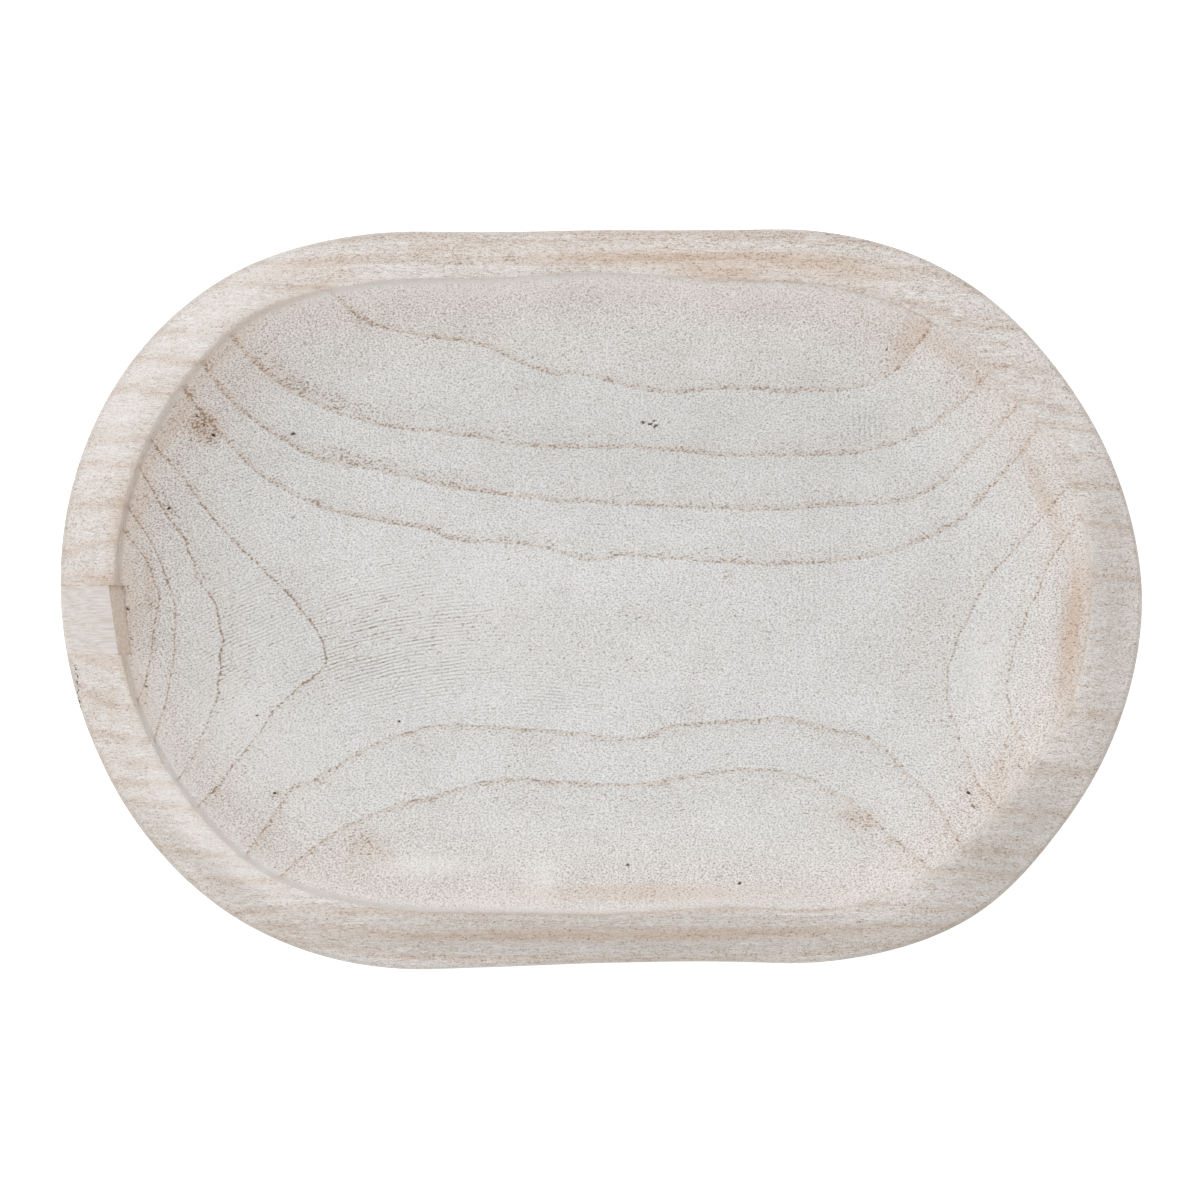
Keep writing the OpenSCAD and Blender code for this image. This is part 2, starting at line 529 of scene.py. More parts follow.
    def carving_mark(self, size: SimpleNamespace, at: SimpleNamespace) -> Term:
        """Works out the carving marks: shallow gouge cuts in the hollow, and a wandering knife elsewhere.

        Args:
            size: The tree's sizes.
            at: What each point knows of its station and its place in the section.

        Returns:
            How far each point is pushed out.
        """
        into = at.share.math("MULTIPLY", self.gouge_start, clamp=True)
        knife = size.knife_depth
        knives = (0.0, knife * at.share, knife, knife, knife, knife, knife * (1.0 - into))
        gouges = (0.0, 0.0, 0.0, 0.0, 0.0, 0.0, size.gouge_depth * into)
        marks = []
        for depths, length in ((knives, size.knife_length), (gouges, size.gouge_length)):
            level = add(length.tree, "ShaderNodeTexNoise", None, size.seed, 1.0 / length, 1.0,
                        noise_dimensions="4D")
            marks.append((level - 0.5) * self.by_section(at.section, depths))
        return marks[0] + marks[1]

    @staticmethod
    def by_section(section: Term, options: tuple[Any, ...]) -> Term:
        """Chooses one of several values by the section that a point is in.

        Args:
            section: The point's section.
            options: A term or a constant for each section in order.

        Returns:
            The chosen value.
        """
        switch = section.tree.nodes.new("GeometryNodeIndexSwitch")
        switch.data_type = "FLOAT"
        while len(switch.index_switch_items) < len(options):
            switch.index_switch_items.new()
        for socket, value in zip(switch.inputs, (section, *options)):
            give(socket, value)
        return Term(switch.outputs[0])

    def tree_sizes(self) -> dict[str, float]:
        """Gives the tree's inputs their sizes.

        Returns:
            Each input's name and its size in metres.
        """
        names = ("half_width", "height", "floor", "rim_fall", "outer_edge", "inner_edge", "wall_rake",
                 "wall_belly", "foot_radius", "lip_depth", "lip_run", "flat_radius", "knife_depth",
                 "knife_length", "gouge_depth", "gouge_length")
        return {name.replace("_", " ").title(): getattr(self, name) * MM for name in names}

    def shaped(self, material: bpy.types.Material) -> bpy.types.Object:
        """Shapes the blank with the tree and makes the result a plain closed mesh.

        Args:
            material: The bowl's finish.

        Returns:
            The whole carved form, as if nothing were let into it.
        """
        blank = self.blank()
        bpy.context.scene.collection.objects.link(blank)
        modifier = blank.modifiers.new("form", "NODES")
        modifier.node_group = self.tree()
        values = {**self.tree_sizes(), "Seed": self.seed, "Material": material}
        for item in modifier.node_group.interface.items_tree:
            if item.name in values:
                modifier[item.identifier] = values[item.name]
        mesh = self.evaluated(blank, "bowl_form")
        form = bpy.data.objects.new("bowl_form", mesh)
        bpy.data.objects.remove(blank)
        return form

    @staticmethod
    def evaluated(source: bpy.types.Object, name: str) -> bpy.types.Mesh:
        """Makes a plain mesh of what an object's modifiers give.

        Args:
            source: The object.
            name: The mesh's name.

        Returns:
            The mesh.
        """
        changed = source.evaluated_get(bpy.context.evaluated_depsgraph_get())
        mesh = bpy.data.meshes.new_from_object(changed)
        mesh.name = name
        return mesh

    def housing(self, growth: float) -> bpy.types.Object:
        """Makes the room that the let-in block takes.

        Args:
            growth: How much wider and deeper than the block it is.

        Returns:
            A box, as an object that isn't in the scene.
        """
        low = (-self.length / 2 - self.overrun, self.patch_place - self.patch_length / 2 - growth,
               self.height - self.patch_depth - growth)
        high = (-self.length / 2 + self.rim_width + self.wall_rake, low[1] + self.patch_length + 2 * growth,
                self.height + self.overrun)
        return self.box("housing", Matrix.Identity(4), low, high)

    def outside_block_face(self) -> bpy.types.Object:
        """Makes the room on the outer side of the let-in block's inner face.

        Returns:
            A box turned and leaned as that face is, as an object that isn't in the scene.
        """
        heading = math.pi + math.asin(-self.patch_place / self.half_width)
        quarter = self.half_width * math.pi / 2
        arc = heading / (math.pi / 2) * quarter + 2 * self.straight_half
        t = np.array([arc / (4 * (self.straight_half + quarter))])
        rim = self.rim_width * float(smooth_share(self.rim_shares, t)[0])
        swell = self.rim_width * float(smooth_share(self.edge_shares, t)[0])
        radius = self.half_width + swell - rim + self.patch_setback
        corner = Vector((radius * math.cos(heading) - self.straight_half, radius * math.sin(heading),
                         self.height))
        room = self.height + self.overrun
        turn = Matrix.Rotation(math.radians(self.patch_turn), 4, "Z")
        lean = Matrix.Rotation(math.radians(-self.patch_lean), 4, "Y")
        place = Matrix.Translation(corner) @ turn @ lean
        return self.box("outside_block_face", place, (-room, -room / 2, -room), (0.0, room / 2, room))

    @staticmethod
    def box(name: str, place: Matrix, low: tuple[float, ...], high: tuple[float, ...]) -> bpy.types.Object:
        """Makes a box for cutting with.

        Args:
            name: Its name.
            place: Where its own frame lies, in mm.
            low: Its lowest corner in that frame.
            high: Its highest corner in that frame.

        Returns:
            The box, in metres.
        """
        work = bmesh.new()
        bmesh.ops.create_cube(work, size=1.0)
        for vert in work.verts:
            inside = [a + (c + 0.5) * (b - a) for a, b, c in zip(low, high, vert.co)]
            vert.co = (place @ Vector(inside)) * MM
        mesh = bpy.data.meshes.new(name)
        work.to_mesh(mesh)
        work.free()
        return bpy.data.objects.new(name, mesh)

    @staticmethod
    def cut(form: bpy.types.Object, name: str, *steps: tuple[str, bpy.types.Object]) -> bpy.types.Object:
        """Cuts a piece from the carved form.

        Args:
            form: The whole carved form.
            name: The piece's name.
            steps: Each cut's kind, such as "DIFFERENCE", and what it cuts with.

        Returns:
            The piece, with a plain mesh.
        """
        rough = bpy.data.objects.new(name + "_rough", form.data)
        bpy.context.scene.collection.objects.link(rough)
        tools = []
        for kind, tool in steps:
            modifier = rough.modifiers.new(kind, "BOOLEAN")
            modifier.solver = "MANIFOLD"
            modifier.operation = kind
            modifier.object = tool
            if tool.name not in bpy.context.scene.collection.objects:
                bpy.context.scene.collection.objects.link(tool)
            tools.append(tool)
        mesh = BowlForm.evaluated(rough, name)
        bpy.data.objects.remove(rough)
        for tool in tools:
            bpy.context.scene.collection.objects.unlink(tool)
        piece = bpy.data.objects.new(name, mesh)
        bpy.context.scene.collection.objects.link(piece)
        return piece


@dataclass(frozen=True)
class RingLine:
    """One growth ring's line across the bowl: its year, and places on it in the photograph's pixels."""

    year: float
    places: tuple[tuple[float, float], ...]


@dataclass(frozen=True)
class Daub:
    """A soft patch of tone: its middle and half sizes in the photograph's pixels, turn and strength."""

    middle: tuple[float, float]
    half: tuple[float, float]
    strength: float
    turn: float = 0.0
    # How fast it fades, and how level it is in the middle
    fade: float = 1.4
    level: float = 1.3

    def at(self, across: np.ndarray, down: np.ndarray) -> np.ndarray:
        """Works out the daub's strength at some pixels.

        Args:
            across: The pixels' places across.
            down: Their places down.

        Returns:
            The strength at each, fading to nothing outside.
        """
        turn = math.radians(self.turn)
        x, y = across - self.middle[0], down - self.middle[1]
        along = (x * math.cos(turn) + y * math.sin(turn)) / self.half[0]
        aside = (y * math.cos(turn) - x * math.sin(turn)) / self.half[1]
        return self.strength * np.exp(-self.fade * (along ** 2 + aside ** 2) ** self.level)


@dataclass
class GrowthRings:
    """The log's growth rings, in mm: a pith along the bowl, and the lines that the photograph shows."""

    pith_y: float = -21.5
    pith_z: float = 151.0
    first: float = 95.5
    spacing: float = 10.0
    # How far a line pulls the rings near it, how closely it is sampled, and how loosely it is held
    pull: float = 30.0
    step: float = 4.0
    slack: float = 0.001
    # One pixel of the photograph at the rim, in mm, and how many places are worked out at once
    pixel: float = 0.46
    batch: int = 4096
    # How far into the hollow the rim's lines give way to the hollow's
    blend: float = 0.8
    # How far above the floor the hollow's rings follow its height before they level off under the steep lip
    level_off: float = 38.0
    # How far each of the hollow's lines runs on at its ends, in pixels, to reach the rim
    run_on: float = 14.0
    hollow_lines: tuple[RingLine, ...] = (
        RingLine(7, ((325, 289), (347, 308), (373, 325), (406, 334), (476, 345), (513, 362), (547, 373),
                     (587, 376), (654, 391), (728, 391), (839, 391), (868, 384), (894, 371), (913, 352),
                     (931, 328))),
        RingLine(6, ((230, 336), (262, 371), (291, 391), (340, 415), (395, 428), (465, 436), (528, 447),
                     (620, 448), (735, 456), (831, 454), (861, 452), (898, 443), (931, 428), (957, 406),
                     (991, 373))),
        RingLine(5, ((199, 360), (221, 391), (240, 410), (266, 430), (295, 449), (325, 461), (388, 473),
                     (443, 486), (506, 496), (573, 502), (676, 507), (772, 510), (839, 506), (883, 504),
                     (920, 495), (954, 473), (979, 447), (1016, 410))),
        RingLine(4, ((184, 391), (217, 432), (258, 473), (306, 502), (365, 519), (428, 530), (454, 541),
                     (528, 545), (587, 560), (635, 556), (728, 563), (787, 565), (876, 556), (935, 535),
                     (965, 517), (1009, 469), (1031, 439))),
        RingLine(3, ((149, 439), (184, 480), (221, 528), (262, 569), (295, 601), (314, 627), (323, 649),
                     (321, 667), (299, 686), (280, 702), (254, 738), (221, 782), (200, 803))),
        RingLine(2, ((140, 469), (166, 513), (181, 535), (206, 590), (218, 608), (221, 634), (218, 689),
                     (199, 745), (175, 782))),
        RingLine(1, ((123, 502), (151, 543), (171, 593), (175, 619), (173, 652), (166, 701), (160, 719))),
        RingLine(0, ((127, 536), (147, 561), (155, 583))),
        RingLine(4, ((245, 858), (267, 823), (291, 789), (332, 769), (369, 745), (434, 725), (502, 727),
                     (576, 732), (635, 738), (672, 725), (754, 719), (791, 717), (839, 730), (865, 734),
                     (905, 767), (942, 811), (965, 848))),
        RingLine(5, ((277, 878), (328, 836), (380, 811), (439, 793), (510, 778), (565, 782), (647, 782),
                     (706, 771), (780, 771), (839, 793), (891, 834), (931, 869))),
        RingLine(5.4, ((470, 832), (560, 825), (700, 822), (800, 834))),
        RingLine(5.7, ((440, 872), (520, 868), (620, 868), (760, 864), (830, 868))),
        RingLine(5.85, ((420, 900), (543, 898), (620, 904), (700, 906), (800, 900), (860, 896))),
        RingLine(-0.3, ((127, 575), (137, 600), (141, 630), (139, 660))),
        RingLine(-0.4, ((119, 575), (122, 600), (126, 630), (130, 660))),
        RingLine(1.5, ((1052, 610), (1040, 650), (1038, 700))),
        RingLine(1.25, ((1078, 590), (1074, 640), (1066, 690))),
        RingLine(7.45, ((430, 312), (520, 318), (640, 322), (780, 322), (850, 312))),
        RingLine(7.6, ((430, 292), (520, 292), (640, 294), (780, 296), (850, 300))),
        RingLine(6.6, ((258, 318), (285, 314), (305, 318), (330, 340))),
        RingLine(3.5, ((976, 816), (990, 826))),
        RingLine(3, ((1061, 495), (1039, 521), (1016, 547), (994, 572), (976, 604), (961, 634), (950, 660),
                     (946, 686), (952, 715), (961, 741), (983, 789), (998, 806))),
        RingLine(2, ((1065, 539), (1046, 569), (1039, 590), (1028, 615), (1016, 645), (1009, 675),
                     (1009, 701), (1015, 726), (1031, 767))),
    )
    rim_lines: tuple[RingLine, ...] = (
        RingLine(8, ((277, 265), (340, 261), (410, 258), (540, 262), (668, 258), (800, 258), (928, 272))),
        RingLine(7, ((217, 284), (321, 288))),
        RingLine(6, ((157, 331), (213, 335))),
        RingLine(5, ((137, 357), (195, 363))),
        RingLine(4, ((127, 390), (177, 395))),
        RingLine(3, ((91, 437), (144, 438))),
        RingLine(2, ((82, 464), (137, 467))),
        RingLine(1, ((62, 508), (119, 503))),
        RingLine(2, ((139, 783), (172, 784))),
        RingLine(3, ((139, 802), (178, 804))),
        RingLine(4, ((172, 850), (246, 858))),
        RingLine(5, ((193, 878), (277, 880))),
        RingLine(6, ((236, 912), (320, 909))),
        RingLine(7, ((262, 924), (350, 930), (450, 937), (620, 936), (780, 931), (958, 924))),
        RingLine(8, ((450, 957), (620, 958), (780, 955))),
        RingLine(7, ((958, 322), (1022, 332))),
        RingLine(6, ((1004, 368), (1060, 373))),
        RingLine(5, ((1019, 398), (1081, 414))),
        RingLine(4, ((1042, 424), (1091, 432))),
        RingLine(3, ((1073, 483), (1117, 488))),
        RingLine(2, ((1083, 523), (1119, 529))),
        RingLine(1, ((1091, 577), (1135, 581))),
        RingLine(1, ((1070, 712), (1116, 718))),
        RingLine(2, ((1035, 769), (1088, 771))),
        RingLine(3, ((1003, 809), (1059, 814))),
        RingLine(4, ((968, 850), (1024, 852))),
        RingLine(5, ((943, 869), (1022, 876))),
        RingLine(6, ((895, 906), (973, 911))),
    )

    def plain(self, points: np.ndarray, hollow: bool) -> np.ndarray:
        """Gives the year at some places as if the log were straight and round.

        Args:
            points: The places, in mm.
            hollow: Whether the rings level off under the hollow's lip.

        Returns:
            The year at each, a whole number on each ring's line.
        """
        height = points[:, 2]
        if hollow:
            height = BowlForm.floor + self.level_off * np.tanh((height - BowlForm.floor) / self.level_off)
        radius = np.hypot(points[:, 1] - self.pith_y, height - self.pith_z)
        return (radius - self.first) / self.spacing

    def run_out(self, line: RingLine) -> list[tuple[float, float]]:
        """Runs a line on at both its ends.

        Args:
            line: The line.

        Returns:
            Its places, with one more at each end.
        """
        made = list(line.places)
        for end, before in ((0, 1), (-1, -2)):
            last, inner = np.array(line.places[end]), np.array(line.places[before])
            beyond = tuple(last + (last - inner) / np.linalg.norm(last - inner) * self.run_on)
            made.insert(0 if end == 0 else len(made), beyond)
        return made

    def years(self, surface: np.ndarray, asked: np.ndarray, hollow: bool) -> np.ndarray:
        """Works out the years, as the lines pull them away from the plain ones.

        Args:
            surface: Places on the surface that the lines lie on, in mm.
            asked: The places to work the years out at, in mm.
            hollow: Whether that surface is the hollow or the rim.

        Returns:
            The year at each place.
        """
        tree = finder(surface * (1, 1, 0))
        held, years = [], []
        for line in self.hollow_lines if hollow else self.rim_lines:
            for pixel in through(self.run_out(line) if hollow else list(line.places), self.step / self.pixel):
                height = RIM_HEIGHT
                # A pixel's place follows from the height there, and the height from the place
                for _ in range(2):
                    x, y = on_bowl(tuple(pixel), height)
                    height = float(surface[tree.find((x, y, 0.0))[1]][2])
                held.append((x, y, height))
                years.append(line.year)
        places = np.array(held)
        off = np.array(years) - self.plain(places, hollow)
        mean = float(off.mean())
        kernel = self.hold(places, places) + self.slack * np.eye(len(places))
        weights = np.linalg.solve(kernel, off - mean)
        starts = range(0, len(asked), self.batch)
        pull = [self.hold(asked[start:start + self.batch], places) @ weights for start in starts]
        return self.plain(asked, hollow) + np.concatenate(pull) + mean

    def hold(self, some: np.ndarray, places: np.ndarray) -> np.ndarray:
        """Works out how strongly some places are held to others, seen from above.

        Args:
            some: The places, in mm.
            places: The places that hold them, in mm.

        Returns:
            A row for each of the first, with a share for each of the second.
        """
        far = np.linalg.norm(some[:, None, :2] - places[None, :, :2], axis=2) / self.pull
        return (1 + far) * np.exp(-far)


@dataclass
class Tones:
    """The soft patches of tone that the photograph shows: bare tan wood and thicker lime, with painted shade
    and painted light round the lips and on the rim.
    """

    # Over how many mm inside the rim's edge the rim's tone gives way to the hollow's
    soft_edge: float = 2.0
    # Bare tan wood; along the left lip just inside the rim its daubs are partly painted shade
    tan: tuple[Daub, ...] = (
        Daub((127, 600), (75, 17), 0.6, 86),
        Daub((134, 503), (50, 17), 0.6, 108),
        Daub((170, 424), (60, 13), 0.6, 122),
        Daub((950, 352), (70, 12), 0.4, 38),
        Daub((722, 274), (45, 9), 0.3),
        Daub((240, 375), (60, 30), 0.2),
        Daub((228, 346), (55, 11), 0.5, 138),
        Daub((300, 296), (60, 9), 0.45, 155),
        Daub((140, 695), (44, 12), 0.5, 68),
        Daub((150, 590), (46, 6), 0.4, 86),
        Daub((205, 428), (24, 20), 0.5),
        Daub((1072, 632), (80, 12), 0.95, 97),
        Daub((1045, 500), (60, 10), 0.5, 65),
        Daub((905, 345), (36, 14), 0.5, -55),
        Daub((600, 233), (170, 4), 0.4),
        Daub((660, 258), (180, 12), 0.65, 1),
        Daub((840, 270), (90, 12), 0.6, 7),
        Daub((715, 272), (60, 8), 0.5, 3),
        Daub((300, 268), (70, 9), 0.4, -8),
        Daub((450, 248), (70, 6), 0.35),
        Daub((650, 893), (120, 10), 0.5),
        Daub((370, 850), (32, 22), 0.3),
        Daub((857, 819), (30, 14), 0.35),
        Daub((1000, 780), (20, 36), 0.35, 20),
        Daub((620, 934), (330, 8), 0.5),
        Daub((100, 660), (34, 8), 0.5, 8),
        Daub((112, 697), (14, 6), 0.35, 85),
        Daub((92, 577), (30, 6), 0.5),
    )
    # Crowded open pores
    porous: tuple[Daub, ...] = (
        Daub((204, 426), (20, 24), 0.6),
        Daub((345, 402), (60, 8), 0.8, 21),
        Daub((290, 378), (34, 9), 0.7, 38),
        Daub((350, 455), (50, 8), 0.8, 16),
        Daub((430, 474), (50, 8), 0.6, 12),
        Daub((365, 322), (34, 10), 0.8, 24),
        Daub((690, 700), (8, 50), 0.4, 4),
        Daub((725, 615), (20, 8), 0.5),
        Daub((640, 612), (20, 10), 0.4),
        Daub((560, 588), (12, 12), 0.5),
        Daub((915, 620), (26, 60), 0.4, 10),
        Daub((368, 845), (26, 16), 0.7, 20),
        Daub((857, 819), (18, 10), 0.7, 25),
    )
    # The gouge's hatching, and its chatter
    hatch: tuple[Daub, ...] = (
        Daub((390, 640), (120, 90), 1.0),
        Daub((232, 640), (46, 100), 0.8, 10),
        Daub((560, 690), (120, 40), 0.5),
        Daub((250, 480), (60, 60), 0.35),
    )
    chatter: tuple[Daub, ...] = (
        Daub((866, 425), (22, 22), 1.0),
        Daub((800, 590), (70, 90), 0.35),
        Daub((455, 330), (60, 60), 0.25),
    )
    # Greyer lime, on the rim and in the hollow; on the bottom and right rim partly painted shade where the
    # rim slopes away from the lamp
    dull_rim: tuple[Daub, ...] = (
        Daub((620, 938), (430, 29), 0.8),
        Daub((1110, 610), (30, 210), 0.55),
        Daub((1010, 850), (140, 45), 0.75, -47),
        Daub((200, 865), (110, 22), 0.4, 38),
        Daub((92, 630), (30, 80), 0.25),
    )
    dull_hollow: tuple[Daub, ...] = (
        Daub((1064, 632), (80, 14), 0.3, 97),
        Daub((640, 440), (330, 100), 0.2),
        Daub((1010, 850), (140, 45), 0.15, -47),
    )
    # Scuffing on the right lip, and painted shade under the rim along the left lip
    worn: tuple[Daub, ...] = (
        Daub((120, 600), (80, 8), 0.6, 86),
        Daub((135, 503), (50, 15), 0.3, 108),
        Daub((170, 424), (60, 10), 0.7, 122),
        Daub((228, 346), (55, 9), 0.4, 138),
        Daub((1080, 630), (70, 5), 0.4, 97),
    )
    # Thicker lime, and round the left end painted light on lips that the lamp leaves in shade
    white: tuple[Daub, ...] = (
        Daub((180, 340), (190, 36), 0.3, -52),
        Daub((320, 291), (90, 9), 0.5, -14),
        Daub((230, 640), (50, 110), 0.25),
        Daub((262, 742), (110, 60), 0.5, 35),
        Daub((235, 300), (90, 16), 0.5, -42),
        Daub((118, 430), (70, 16), 0.4, -65),
        Daub((430, 865), (60, 12), 0.8),
        Daub((540, 880), (20, 22), 0.8),
        Daub((404, 250), (5, 14), 0.5),
        Daub((432, 275), (8, 4), 0.5),
        Daub((450, 600), (130, 70), 0.3),
        Daub((985, 660), (26, 60), 0.5),
        Daub((172, 795), (70, 16), 0.8, 53),
        Daub((250, 870), (60, 16), 0.8, 33),
        Daub((150, 700), (50, 30), 0.4, 60),
    )

    def total(self, name: str, pixels: tuple[np.ndarray, np.ndarray]) -> np.ndarray:
        """Adds up the daubs of one tone.

        Args:
            name: The tone.
            pixels: The pixels' places across and down.

        Returns:
            The tone's strength at each.
        """
        return sum(daub.at(*pixels) for daub in getattr(self, name))


class Finish:
    """What the finishes share: node types, and how a material starts and ends."""

    VECTOR = "ShaderNodeVectorMath"
    NOISE = "ShaderNodeTexNoise"
    CELLS = "ShaderNodeTexVoronoi"
    PLACED = "ShaderNodeMapping"
    name: str
    roughness: float
    specular: float

    def start(self) -> tuple[bpy.types.Material, Term]:
        """Makes an empty material.

        Returns:
            The material, and the place on the piece in mm.
        """
        material = bpy.data.materials.new(self.name)
        material.use_nodes = True
        tree = material.node_tree
        tree.nodes.clear()
        coords = add(tree, "ShaderNodeTexCoord", out=3)
        return material, add(tree, self.VECTOR, coords, operation="SCALE", named={"Scale": 1 / MM})

    def sized(self, place: Term, lengths: tuple[float, float, float]) -> Term:
        """Scales a place for a pattern.

        Args:
            place: The place, in mm.
            lengths: The pattern's size along the grain, across it and upwards, in mm.

        Returns:
            The place, in sizes of the pattern.
        """
        return add(place.tree, self.VECTOR, place, tuple(1 / length for length in lengths),
                   operation="MULTIPLY")

    def noise(self, place: Term, lengths: tuple[float, float, float], detail: float) -> Term:
        """Adds a soft uneven pattern.

        Args:
            place: The place, in mm.
            lengths: The pattern's size along the grain, across it and upwards, in mm.
            detail: How much finer detail it has.

        Returns:
            Its level, from zero to one and mostly near a half.
        """
        return add(place.tree, self.NOISE, self.sized(place, lengths), None, 1.0, detail)

    @staticmethod
    def facing(tree: bpy.types.NodeTree) -> list[Term]:
        """Finds which way the surface faces.

        Args:
            tree: The material's tree.

        Returns:
            The three parts of its direction.
        """
        return add(tree, "ShaderNodeSeparateXYZ", add(tree, "ShaderNodeNewGeometry", out=1)).all()

    def close(self, colour: Term, relief: Term) -> None:
        """Ends a material's tree with its shader.

        Args:
            colour: The surface's colour.
            relief: Its relief, in mm.
        """
        tree = colour.tree
        bump = add(tree, "ShaderNodeBump", 1.0, MM, named={"Height": relief})
        shader = add(tree, "ShaderNodeBsdfPrincipled", named={
            "Base Color": colour, "Roughness": self.roughness, "Specular IOR Level": self.specular,
            "Normal": bump})
        add(tree, "ShaderNodeOutputMaterial", shader)


@dataclass(frozen=True)
class Pit:
    """A dark pit or check in the wood, in the photograph's pixels: its middle, half sizes and turn."""

    middle: tuple[float, float]
    half: tuple[float, float]
    turn: float = 0.0


@dataclass(frozen=True)
class Reading:
    """A layer read from another: between two of its levels it goes from one value to another."""

    name: str
    source: str
    levels: tuple[float, float] = (0.0, 1.0)
    values: tuple[float, float] = (0.0, 1.0)
    kind: str = "LINEAR"


@dataclass(frozen=True)
class LimedWood(Finish):
    """Limed paulownia, carved with a gouge and left rough.

    The lime lies thin and chalky over a pale wood with wide rings. A ring's line is a string of open
    pores that keep the wood's colour in a faint tan band, with more pores scattered on its outer side.
    The gouge leaves a fine torn peel all over the hollow, and the rim shows its fibres as long soft
    streaks. It is quite matt.
    """

    name: str = "limed_paulownia"
    # The lime, and the wood that shows where it is torn: on the hollow's floor, on its walls and on the rim
    lime: tuple[str, str, str] = ("#F1F2F2", "#F3EEEB", "#EFEDEB")
    torn: tuple[str, str, str] = ("#8A8075", "#867260", "#9C8470")
    # Bare tan wood, which through the tan daubs also paints shade along the left lip
    bare: str = "#CAA684"
    # Thicker lime, also used as painted light on shaded lips
    thick: str = "#F4F2F0"
    # Greyer lime, partly painted shade on the bottom and right rim and on the rim's outer eased edge
    grey: str = "#99928A"
    # Painted shade under the left lip, and scuffing on the right lip
    scuffed: str = "#9A846F"
    pore: str = "#86633F"
    dark: str = "#46301F"
    # How dull the surface is, and how little it shines
    roughness: float = 0.88
    specular: float = 0.2
    # What each piece's points know
    given: tuple[str, ...] = ("year", "pace", "hollow", "tan", "white", "dull", "edge", "top", "worn",
                              "porous", "hatch", "chatter")
    # Sizes in mm along the grain, across it and upwards, and the detail of each pattern. The fibres,
    # the peel and the specks are drawn a little coarser than they are, so that the picture can hold them
    patterns: tuple[tuple[str, tuple[float, float, float], float], ...] = (
        ("wander", (14.0, 9.0, 9.0), 1.0),
        ("waver", (2.4, 1.8, 1.8), 1.0),
        ("breaks", (9.0, 4.0, 4.0), 1.0),
        ("mottle", (30.0, 22.0, 22.0), 3.0),
        ("streak", (50.0, 1.9, 1.9), 3.0),
        ("fibre", (6.0, 0.8, 0.8), 1.0),
        ("peel", (1.15, 0.92, 0.92), 0.0),
        ("speck", (1.3, 0.8, 0.8), 1.0),
    )
    # The open pores between the lines, how far apart they are along the grain and across it, in mm, and how
    # large they are as shares of that. They are drawn about twice as large as real ones, for the same reason
    grit_spacing: tuple[float, float, float] = (1.4, 0.85, 1.0)
    grit_levels: tuple[float, float] = (0.1, 0.32)
    # Layers read from the patterns, the place in mm and the surface's direction, each from what is above it
    readings: tuple[Reading, ...] = (
        Reading("wall", "z", (26.0, 66.0), kind="SMOOTHSTEP"),
        Reading("near_side", "y", (-60.0, -20.0), (0.85, 1.0)),
        Reading("left_side", "x", (20.0, 130.0), (1.0, 0.5)),
        Reading("paler", "left_side", (0.5, 1.0), (0.8, 1.0)),
        Reading("smooth_end", "x", (-200.0, -60.0), FADE),
        Reading("fading", "mottle", (0.38, 0.56), (0.7, 1.0)),
        Reading("mottled", "mottle", (0.35, 0.65)),
        Reading("swelled", "breaks", (0.3, 0.7), (0.6, 1.5)),
        Reading("broken", "breaks", (0.36, 0.60), (0.6, 1.0)),
        Reading("combed", "breaks", (0.4, 0.58), (0.15, 1.0)),
        Reading("streaked", "streak", (0.36, 0.68)),
        Reading("grooved", "fibre", (0.48, 0.66)),
        # Painted light on the steep lip, most where it faces away from the lamp
        Reading("steep", "facing_z", (0.3, 0.65), FADE),
        Reading("limed_side", "facing_x", (-0.7, 0.0), (0.08, 0.35)),
        Reading("grit_share", "smooth_end", values=(1.0, 1.2)),
        Reading("torn_share", "wall", values=(0.35, 0.54)),
        Reading("torn_streak", "streaked", values=(0.38, 0.75)),
        Reading("smoothed", "smooth_end", values=(1.0, 0.78)),
        Reading("hair_rim", "smooth_end", values=(0.42, 0.40)),
        Reading("peel_depth", "hollow", values=(0.16, 0.34)),
    )
    # How wide a line's tan band, its string of pores and its band on the rim are, and how far it wanders,
    # in mm
    halo_width: float = 3.3
    string_width: float = 1.3
    rim_band_width: float = 3.6
    wander_reach: float = 0.8
    waver_reach: float = 0.35
    # The years over which the tan bands widen and the thin lines end, and how much of a year is crowded
    wide_years: tuple[float, float] = (3.0, 4.2)
    thin_years: tuple[float, float] = (3.2, 4.2)
    crowded_share: float = 0.42
    # The share of a tan band's width at which it starts to fade
    halo_core: float = 0.2
    # The grain rises to the right, this steeply, to the left of a place in the photograph's pixels
    rise: float = 0.2
    rise_from: tuple[float, float] = (700.0, 600.0)
    # How much of a place's height counts in the hollow's patterns, as the gouge drew them out
    lip_stretch: float = 0.15
    # The gouge's hatching: arcs about a place in the photograph's pixels, how far apart they are, how far
    # they wander in mm, how much of each shows, and how much of the torn wood it leaves
    hatch_middle: tuple[float, float] = (520.0, 1250.0)
    hatch_spacing: float = 1.7
    hatch_warp: float = 2.0
    hatch_levels: tuple[float, float] = (0.1, 0.9)
    hatch_leaves: float = 0.35
    # The gouge's chatter: upright ridges, how far apart they are, how far they wander, and how much shows
    chatter_spacing: float = 2.6
    chatter_warp: float = 3.0
    chatter_levels: tuple[float, float] = (-0.4, 0.9)
    # How far off the middle of its pattern a torn outline reaches, and how strong the hair is in the hollow
    outline_reach: float = 0.07
    hair_hollow: float = 0.12
    # How far the torn edges of pits and chains stray, in mm, and where they start and end to fade
    ragged: float = 2.0
    pit_levels: tuple[float, float] = (0.6, 1.2)
    chain_levels: tuple[float, float] = (0.5, 1.3)
